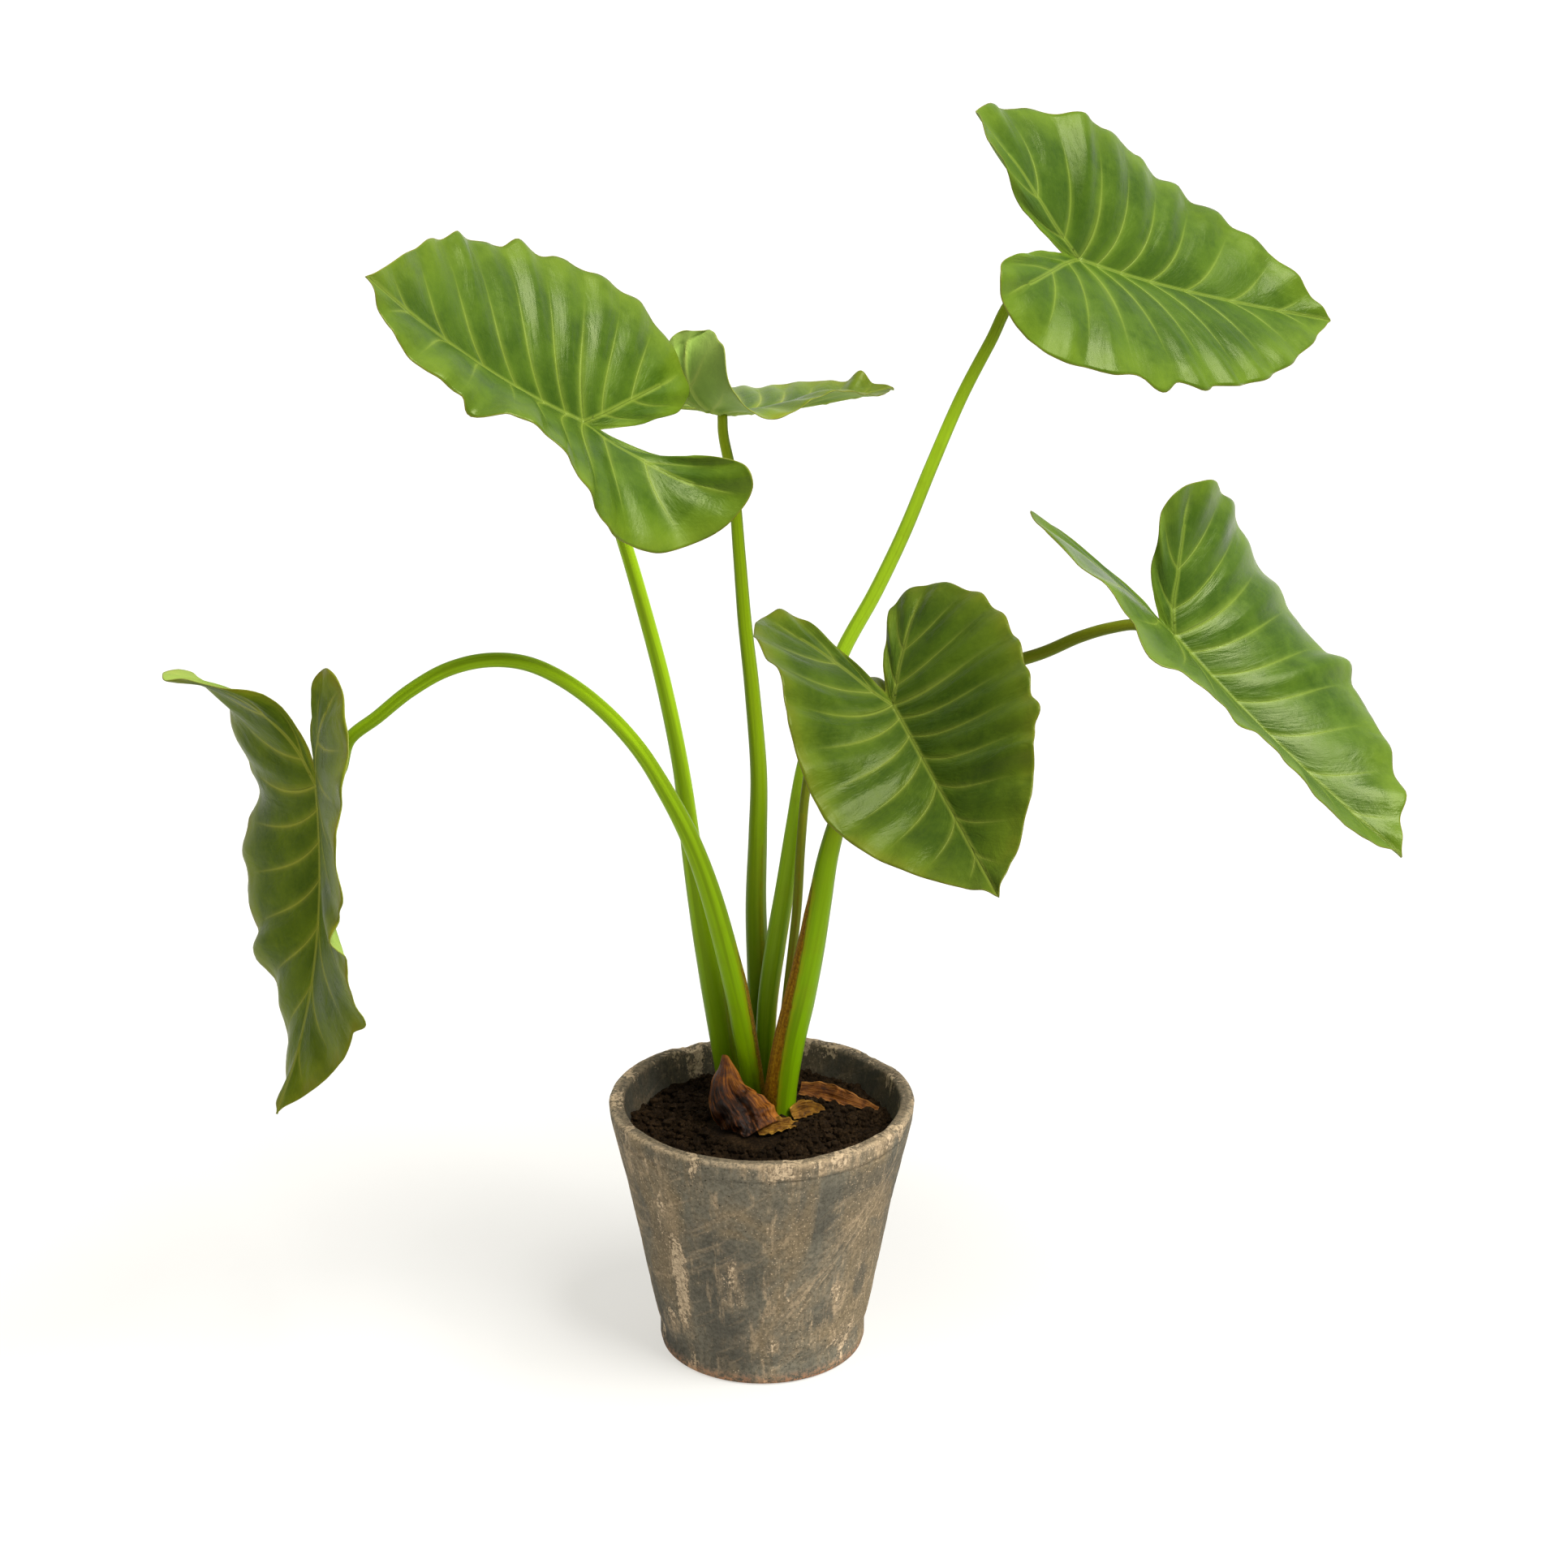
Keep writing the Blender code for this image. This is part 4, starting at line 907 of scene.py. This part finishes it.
def sheath_gap(x, y):
    """Distance from the nearest dried sheath's edge, seen from above; below zero under the sheath."""
    best = np.full(np.shape(x), np.inf)
    for sheath in SHEATHS.values():
        line = through(sheath["midline"], np.linspace(0, 1, 16))
        widths = through(sheath["widths"], np.linspace(0, 1, 16))[:, 0]
        for (px, py, _), wide in zip(line, widths):
            best = np.minimum(best, np.hypot(x - px, y - py) - wide)
    return best


def fine_soil(x, y):
    """The soil's surface with its crumbly unevenness, pressed down under the dried sheaths."""
    spots = np.stack([x, y, 0 * x], -1)
    rough = noise_at(spots, 0.011, 3) + 0.6 * np.abs(noise_at(spots + 0.3, 0.0045, 2)) - 0.3
    pressed = smoothstep(sheath_gap(x, y) / SHEATH_PRESS)
    return soil_height(x, y) + SOIL_ROUGH * (rough * pressed - 0.4 * (1 - pressed))


def build_soil(material):
    """The soil's visible surface, and the crumbs that lie on it as one mesh of their own."""
    wall = inner_radius(SOIL_EDGE_HEIGHT) - GAP
    radius = wall * (np.arange(SOIL_RINGS) + 0.4) / (SOIL_RINGS - 0.6)
    turn = circle(SOIL_SIDES)
    x, y = np.outer(radius, np.cos(turn)), np.outer(radius, np.sin(turn))
    z = fine_soil(x, y)
    surface = np.stack([x, y, z], -1).reshape(-1, 3)
    skirt = surface[-SOIL_SIDES:] * (1, 1, 0) + (0, 0, SOIL_EDGE_HEIGHT - 0.012)
    faces = grid_faces(SOIL_RINGS + 1, SOIL_SIDES, closed=True).tolist()
    faces += [ring_face(0, SOIL_SIDES)[::-1], ring_face(SOIL_RINGS, SOIL_SIDES)]
    new_piece("soil_surface", np.vstack([surface, skirt]), faces, [material], "soil")

    draw = np.random.default_rng(CRUMB_SEED)
    ball = bmesh.new()
    bmesh.ops.create_icosphere(ball, subdivisions=1, radius=1)
    corners = np.array([corner.co for corner in ball.verts])
    sides = np.array([[corner.index for corner in face.verts] for face in ball.faces])
    ball.free()
    spots = np.sqrt(draw.random(CRUMBS)) * (wall - 0.003)
    angle = draw.random(CRUMBS) * 2 * math.pi
    cx, cy = spots * np.cos(angle), spots * np.sin(angle)
    low, high = CRUMB_SIZES
    size = low + (high - low) * draw.random(CRUMBS) ** 3.2
    size = np.where(sheath_gap(cx, cy) < 0.001, low, size)
    cz = fine_soil(cx, cy) + size * np.where(size > low, 0.25, -1.0)
    lumps = corners[None] * (1 + 0.5 * (draw.random((CRUMBS, len(corners), 1)) - 0.5))
    lumps = lumps * (size[:, None] * (0.7 + 0.6 * draw.random((CRUMBS, 3))))[:, None]
    lumps = lumps + np.stack([cx, cy, cz], -1)[:, None]
    where = (np.arange(CRUMBS) * len(corners))[:, None, None] + sides[None]
    new_piece("soil_crumbs", lumps.reshape(-1, 3), where.reshape(-1, 3).tolist(), [material],
              smooth=False)


def soil_look():
    look = Look("soil_dark", 0.95, 0.10)
    place = look.place()
    grains = look.noise(place, 340, 6, 0.7)
    patches = look.noise(place, 45, 4, 0.6)
    # the soil runs darker where its grains sink, as the bump below has them: partly its own dark and partly
    # painted shade in the gaps
    value = look.plus(look.times(grains, 0.65), look.times(patches, 0.35))
    colour = look.ramp(value, (0.32, (0.0028, 0.0013, 0.0004)), (0.50, (0.014, 0.0072, 0.0022)),
                       (0.62, (0.038, 0.021, 0.0085)), (0.78, (0.105, 0.066, 0.030)))
    speck = look.ease(look.cells(place, 210), 0.02, 0.10, 0.55, 0)
    rare = look.math("GREATER_THAN", look.noise(place, 30, 2), 0.63)
    colour = look.over(colour, (0.186, 0.161, 0.124), speck, rare)
    return look.finish(colour, None, look.bump(grains, 0.0016, 0.9))


# Pot

def belly_profile():
    """The pot's outside below its collar, from the groove down to the foot."""
    top = POT_HEIGHT - POT_COLLAR_HEIGHT
    return [(POT_RIM_RADIUS - POT_COLLAR_TAPER - POT_GROOVE / 2, top - POT_EDGE)] + list(POT_BELLY) + [
        (POT_FOOT_RADIUS, POT_FOOT_HEIGHT)]


def build_pot(material):
    """The clay pot: the turned profile of its solid, cut fine, uneven as thrown clay, with a chipped rim."""
    collar = POT_HEIGHT - POT_COLLAR_HEIGHT
    rim, mouth, below = POT_RIM_RADIUS, POT_RIM_RADIUS - POT_WALL, POT_RIM_RADIUS - POT_COLLAR_TAPER
    inside = [(inner_radius(z), z) for z in (*POT_INNER_HEIGHTS, belly_profile()[0][1])]
    profile = inside + [(mouth, POT_HEIGHT - 2 * POT_EDGE)]
    profile += [(mouth + POT_EDGE * 0.3, POT_HEIGHT - POT_EDGE * 0.6)]
    profile += [(mouth + 1.2 * POT_EDGE, POT_HEIGHT), (rim - 1.2 * POT_EDGE, POT_HEIGHT)]
    profile += [(rim - POT_EDGE * 0.3, POT_HEIGHT - POT_EDGE * 0.5), (rim, POT_HEIGHT - 1.6 * POT_EDGE)]
    profile += [(below, collar + POT_EDGE), (below - POT_GROOVE, collar)]
    profile += belly_profile()
    profile += [(POT_FOOT_RADIUS, POT_FOOT_EDGE * 1.4)]
    profile += [(POT_FOOT_RADIUS - POT_FOOT_EDGE * 0.3, POT_FOOT_EDGE * 0.4)]
    profile += [(POT_FOOT_RADIUS - POT_FOOT_EDGE, 0), (POT_FOOT_RADIUS - 0.02, 0)]
    profile = np.array(profile)
    points = [profile[0]]
    for a, b in zip(profile[:-1], profile[1:]):
        steps = max(1, int(round(np.linalg.norm(b - a) / POT_STEP)))
        points += [a + (b - a) * k / steps for k in range(1, steps + 1)]
    line = np.array(points)
    turn = circle(POT_SIDES)
    radius, height = np.repeat(line[:, :1], POT_SIDES, 1), np.repeat(line[:, 1:], POT_SIDES, 1)
    outer = np.cumsum(line[:, 1] == POT_HEIGHT) > 1
    spots = np.stack([radius * np.cos(turn), radius * np.sin(turn), height], -1)
    rough = noise_at(spots, 0.045, 3) * POT_UNEVEN
    rough += noise_at(spots * (1, 1, 2.2), 0.009, 2) * POT_UNEVEN * 0.35
    near_rim = smoothstep((height - POT_HEIGHT + 0.012) / 0.012)
    drop = np.zeros_like(height)
    for direction, spread, depth in RIM_CHIPS:
        gap = (np.degrees(turn) - direction + 180) % 360 - 180
        drop += depth * np.exp(-(gap / spread) ** 2)
    drop = drop * near_rim * (1 + 0.5 * noise_at(spots, 0.006, 2))
    radius = radius - np.abs(rough) * np.where(outer, 1, 0)[:, None] * (height > POT_EDGE)
    height = height - drop - near_rim * np.abs(noise_at(spots, 0.014, 2)) * 0.0009
    place = np.stack([radius * np.cos(turn), radius * np.sin(turn), height], -1)
    faces = grid_faces(len(line), POT_SIDES, closed=True).tolist() + [ring_face(len(line) - 1, POT_SIDES)]
    return new_piece("pot_clay", place.reshape(-1, 3), faces, [material], "pot")


def pot_mark(look, turn, height, mark, ragged):
    """The mark's strength inside a ragged oval on the pot, and 0 outside it."""
    direction, middle, wide, tall, strength = mark
    gap = look.times(look.minus(turn, direction), 1 / wide)
    rise = look.times(look.minus(height, middle), 1 / tall)
    away = look.math("SQRT", look.plus(look.times(gap, gap), look.times(rise, rise)))
    return look.ease(look.plus(away, ragged), 0.6, 1.3, strength, 0)


def pot_look():
    """Unglazed clay: slate-grey slip, a brown film, and tan clay in streaks, flakes and specks where worn, with
    painted shade in its pits, in the low spots of its grain and inside it.
    """
    look = Look("pot_old_clay", 0.85, 0.10)
    place = look.place()
    x, y, height = look.node("ShaderNodeSeparateXYZ", {0: place}).outputs
    turn = look.math("DEGREES", look.math("ARCTAN2", y, x))
    radius = look.math("SQRT", look.plus(look.times(x, x), look.times(y, y)))
    cloud = look.noise(place, 9, 5, 0.6)
    film = look.noise(look.stretch(place, (1, 1, 0.45)), 16, 6, 0.65, 0.8)
    patches = look.noise(look.stretch(place, (1, 1, 0.40)), 21, 7, 0.66, 0.5)
    streaks = look.noise(look.stretch(place, (1, 1, 0.06)), 130, 5, 0.7)
    grain = look.noise(place, 260, 5, 0.75)
    slant = look.vector(look.plus(x, look.times(height, 0.75)),
                        look.times(look.minus(height, look.times(x, 0.75)), 7), y)
    wipes = look.noise(slant, 11, 5, 0.6)
    ragged = look.times(look.minus(look.noise(place, 42, 5, 0.65), 0.5), 2.4)
    worn_mark, dark_mark = (
        functools.reduce(lambda a, b: look.math("MAXIMUM", a, b), [pot_mark(look, turn, height, mark, ragged)
                                                                   for mark in marks])
        for marks in (WORN_MARKS, DARK_MARKS))

    colour = look.mix(look.ease(cloud, 0.36, 0.62), SLATE_DARK, SLATE_LIGHT)
    colour = look.mix(look.ease(film, 0.42, 0.66, 0, 0.85), colour, BROWN_FILM)
    colour = look.mix(look.ease(wipes, 0.54, 0.68, 0, 0.40), colour, TAN)
    colour = look.over(colour, SLATE_DARK, dark_mark, 0.75)
    scratch = look.times(look.ease(streaks, 0.52, 0.68), look.ease(patches, 0.40, 0.58, 0.08, 0.75))
    colour = look.mix(scratch, colour, TAN)
    (low_turn, low), (high_turn, high) = WIPE_ENDS
    along = look.times(look.minus(height, low), 1 / (high - low))
    aside = look.minus(look.times(look.minus(turn, low_turn), 1 / (high_turn - low_turn)), along)
    strokes = look.stripes(aside, along, 26, 2.5, 5, 0.6)
    wipe = look.times(look.ease(look.size(aside), 0.04, 0.20, 1, 0), look.ease(strokes, 0.42, 0.64))
    wipe = look.times(wipe, look.ease(look.size(look.minus(along, 0.5)), 0.35, 0.65, 1, 0))
    colour = look.over(colour, TAN, wipe, 0.6)
    smear = look.times(worn_mark, look.ease(streaks, 0.42, 0.62, 0.10, 0.65))
    colour = look.mix(smear, colour, TAN)
    worn = look.plus(look.times(patches, 0.66), look.times(grain, 0.20))
    worn = look.plus(worn, look.times(streaks, 0.14))
    edges = look.plus(look.ease(height, POT_HEIGHT - 0.028, POT_HEIGHT - 0.003, 0, 0.085),
                      look.ease(height, 0.060, 0.0, 0, 0.050))
    worn = look.plus(worn, look.math("MAXIMUM", edges, look.times(worn_mark, 0.060)))
    worn = look.minus(worn, look.times(dark_mark, 0.08))
    flakes = look.ease(worn, 0.588, 0.610)
    colour = look.mix(look.times(flakes, 0.88), colour, look.mix(look.ease(grain, 0.3, 0.7), TAN, BEIGE))
    spread = look.math("MAXIMUM", look.ease(film, 0.42, 0.58), worn_mark)
    specks = look.times(look.ease(look.cells(place, 300), 0.12, 0.24, 1, 0), spread)
    colour = look.over(colour, BEIGE, specks, 0.75)
    brim = look.ease(height, POT_HEIGHT - 0.006, POT_HEIGHT - 0.0015, 0, 0.55)
    colour = look.mix(look.times(brim, look.ease(grain, 0.32, 0.55)), colour, TAN)
    orange = look.times(look.ease(height, 0.016, 0.0, 0, 0.8), look.ease(grain, 0.42, 0.58))
    colour = look.mix(orange, colour, BURNT_CLAY)
    # painted shade in the pits, and up to half in the low spots of the grain
    pits = look.times(look.ease(look.cells(place, 170), 0.05, 0.15, 1, 0), look.ease(cloud, 0.5, 0.6))
    colour = look.over(colour, POT_PIT_SHADE, pits, 0.75)
    colour = look.mix(look.ease(grain, 0.36, 0.60, 0.50, 0), colour, POT_PIT_SHADE)
    # painted shade on the inside of the pot, above the soil
    wall = look.minus(radius, look.times(height, POT_SLOPE))
    inner = look.ease(wall, POT_FOOT_RADIUS - 0.012, POT_FOOT_RADIUS - 0.007, 0.55, 0)
    inner = look.times(inner, look.ease(flakes, 0, 1, 1, 0.35))
    colour = look.mix(inner, colour, POT_PIT_SHADE)
    relief = look.plus(look.times(flakes, -0.5), look.times(grain, 0.7))
    relief = look.plus(relief, look.times(streaks, 0.35))
    relief = look.minus(relief, look.times(pits, 1.2))
    return look.finish(colour, look.ease(cloud, 0.3, 0.7, 0.72, 0.95), look.bump(relief, 0.0012, 1.0))


# Dried sheaths

def build_sheath(name, sheath, material):
    """A dried sheath with frilled margins and fine lengthwise folds."""
    rows = np.linspace(0, 1, SHEATH_ROWS)
    line = through(sheath["midline"], rows)
    line[:, 2] += soil_height(line[:, 0], line[:, 1])
    widths = through(sheath["widths"], rows)[:, 0]
    tangent = unit(np.gradient(line, axis=0))
    across = np.array(sheath["across"])
    across = unit(across - tangent * (tangent @ across)[:, None])
    out = np.cross(across, tangent)
    out *= np.sign(out[:, 2:])
    shift = np.linspace(-1, 1, SHEATH_COLUMNS + 1)
    waves = np.sin(2 * math.pi * SHEATH_FRILLS * rows[:, None] + 2 * shift) * np.abs(shift)
    frill = sheath["frill"] * waves * np.minimum(1, 4 * rows)[:, None]
    bow = sheath["cup"] * widths[:, None] * (shift ** 2 - 0.5) + frill
    seed = len(name) + 0 * bow
    spots = np.stack([rows[:, None] * 1.6 + 0 * shift, shift * 3.2 + 0.5 * rows[:, None], seed], -1)
    fold = np.abs(noise_at(spots, 1.0, 2)) - 0.25
    crease = 0.5 - np.abs(noise_at(spots * (4.0, 1.1, 1) + 5.3, 1.0, 2))
    middle, valley = sheath["valley"]
    sunk = widths[:, None] * valley * np.exp(-((shift - middle) / VALLEY_WIDTH) ** 2)
    bow = bow - sunk * np.sin(math.pi * rows)[:, None]
    bow = bow + widths[:, None] * (SHEATH_FOLDS * fold + SHEATH_CRUMPLE * crease * (0.4 + 0.6 * np.abs(shift)))
    ragged = 1 + SHEATH_RAGGED * noise_at(np.stack([rows * 5, 0 * rows, 0 * rows + len(name)], -1), 1.0, 2)
    wide = shift * (widths * ragged)[:, None]
    under = line[:, None] + across[:, None] * wide[..., None] + out[:, None] * bow[..., None]
    under[..., 2] = np.maximum(under[..., 2], soil_height(under[..., 0], under[..., 1]) + SHEATH_REST)
    top = under + out[:, None] * SHEATH_THICKNESS
    count = top.shape[0] * top.shape[1]
    quads = grid_faces(*top.shape[:2])
    index = np.arange(count).reshape(top.shape[:2])
    ring = np.concatenate([index[0], index[1:, -1], index[-1, -2::-1], index[-2:0:-1, 0]])
    after = np.roll(ring, -1)
    wall = np.stack([after, ring, ring + count, after + count], -1)
    faces = np.vstack([quads, quads[:, ::-1] + count, wall]).tolist()
    points = np.vstack([top.reshape(-1, 3), under.reshape(-1, 3)])
    item = new_piece(name.replace("dried", "brown"), points, faces, [material],
                     name if name in SHEATHS else None)
    values = np.stack([rows[:, None] + 0 * shift, shift * 0.5 + 0.5 + 0 * rows[:, None]], -1).reshape(-1, 2)
    layer = item.data.uv_layers.new(name="sheath")
    corners = np.array([loop.vertex_index for loop in item.data.loops]) % count
    layer.data.foreach_set("uv", values[corners].astype(np.float32).ravel())
    return item


def sheath_look(name, colours, right, end):
    """Papery brown with painted shade in its hollows, golden fibres along it and pale torn margins."""
    look = Look(name, 0.6, 0.25)
    along, across = look.uv("sheath")
    place = look.place()
    fibres = look.stripes(along, across, 3.0, 26, 6, 0.65, 0.6)
    veins = look.stripes(along, across, 2.0, 90, 3, 0.5)
    blotch = look.noise(place, 85, 5, 0.62, 0.6)
    value = look.plus(look.times(fibres, 0.50), look.times(blotch, 0.38))
    value = look.plus(value, look.times(veins, 0.12))
    from_edge = look.size(look.minus(across, 0.5))
    value = look.plus(value, look.ease(from_edge, 0.34, 0.5, 0, 0.08))
    value = look.plus(value, look.ease(across, 0.35, 1.0, -right / 2, right / 2))
    value = look.plus(value, look.ease(along, 0.45, 1.0, -end / 2, end / 2))
    dark, middle, light = colours
    bright = tuple(1.4 * c for c in light)
    # the darkest stop, where fibres and blotches sink as the bump has them, is partly the brown's own dark and
    # partly painted shade
    colour = look.ramp(value, (0.40, dark), (0.49, middle), (0.60, light), (0.72, bright))
    relief = look.plus(look.times(fibres, 0.8), look.times(blotch, 0.5))
    return look.finish(colour, look.ease(blotch, 0.3, 0.7, 0.42, 0.70), look.bump(relief, 0.0022, 1.0))


# Stage

def build_stage():
    """Pale floor, a white studio that is dimmer on the viewer's side, a large soft light and the camera."""
    scene = bpy.context.scene
    edge = FLOOR_SIZE / 2
    mesh = bpy.data.meshes.new("floor")
    corners = [(-edge, -edge, 0), (edge, -edge, 0), (edge, edge, 0), (-edge, edge, 0)]
    mesh.from_pydata(corners, [], [(0, 1, 2, 3)])
    floor = bpy.data.objects.new("floor", mesh)
    scene.collection.objects.link(floor)
    white = Look("floor_white", 0.9, 0.0)
    white.shader.inputs["Emission Color"].default_value = (*FLOOR_GLOW_COLOUR, 1.0)
    white.shader.inputs["Emission Strength"].default_value = FLOOR_GLOW
    mesh.materials.append(white.finish(FLOOR_COLOUR))

    world = bpy.data.worlds.new("studio")
    scene.world = world
    world.use_nodes = True
    tree = world.node_tree
    back = tree.nodes["Background"]
    back.inputs["Color"].default_value = (1.0, 1.0, 1.0, 1.0)
    view = tree.nodes.new("ShaderNodeTexCoord").outputs["Generated"]
    aside = tree.nodes.new("ShaderNodeVectorMath")
    aside.operation = "DOT_PRODUCT"
    aside.inputs[1].default_value = Vector(FILL_WAY).normalized()
    tree.links.new(view, aside.inputs[0])
    height = tree.nodes.new("ShaderNodeSeparateXYZ")
    tree.links.new(view, height.inputs[0])
    brightest = tree.nodes.new("ShaderNodeMath")
    brightest.operation = "MAXIMUM"
    fill = (aside.outputs["Value"], FILL_RANGE, (FILL_DIM, FILL_BRIGHT))
    horizon = (height.outputs["Z"], HORIZON_RANGE, (HORIZON, FILL_DIM))
    for slot, (value, ends, levels) in enumerate((fill, horizon)):
        level = tree.nodes.new("ShaderNodeMapRange")
        level.interpolation_type = "SMOOTHSTEP"
        for key, amount in zip(("From Min", "From Max", "To Min", "To Max"), (*ends, *levels)):
            level.inputs[key].default_value = amount
        tree.links.new(value, level.inputs["Value"])
        tree.links.new(level.outputs["Result"], brightest.inputs[slot])
    tree.links.new(brightest.outputs[0], back.inputs["Strength"])

    lamp = bpy.data.lights.new("key", "SUN")
    lamp.energy = KEY_STRENGTH
    lamp.angle = math.radians(KEY_SPREAD)
    lamp.color = KEY_COLOUR
    key = bpy.data.objects.new("key", lamp)
    key.rotation_mode = "QUATERNION"
    key.rotation_quaternion = (-Vector(KEY_WAY)).to_track_quat("-Z", "Y")
    scene.collection.objects.link(key)

    data = bpy.data.cameras.new("camera")
    data.lens = CAMERA_LENS
    data.sensor_width = CAMERA_SENSOR
    data.clip_end = 200
    camera = bpy.data.objects.new("camera", data)
    camera.location = CAMERA_PLACE
    camera.rotation_euler = (math.radians(90 - CAMERA_PITCH), 0, 0)
    scene.collection.objects.link(camera)
    scene.camera = camera
    scene.view_settings.view_transform = "Standard"


def main():
    build_stage()
    build_pot(pot_look())
    build_soil(soil_look())
    for key, leaf in LEAVES.items():
        upper, under = blade_looks(key, **BLADE_LOOKS[key])
        build_blade("leaf_" + key, leaf, upper, under)
        look = STALK_LOOKS[key]
        build_stalk("stalk_" + key, leaf, STALKS[key], look, stalk_look("stalk_green_" + key, look))
    for name, sheath in {**SHEATHS, "dried_sheath_frill": FRILL}.items():
        build_sheath(name, sheath, sheath_look(name + "_brown", **SHEATH_COLOURS[name]))


main()
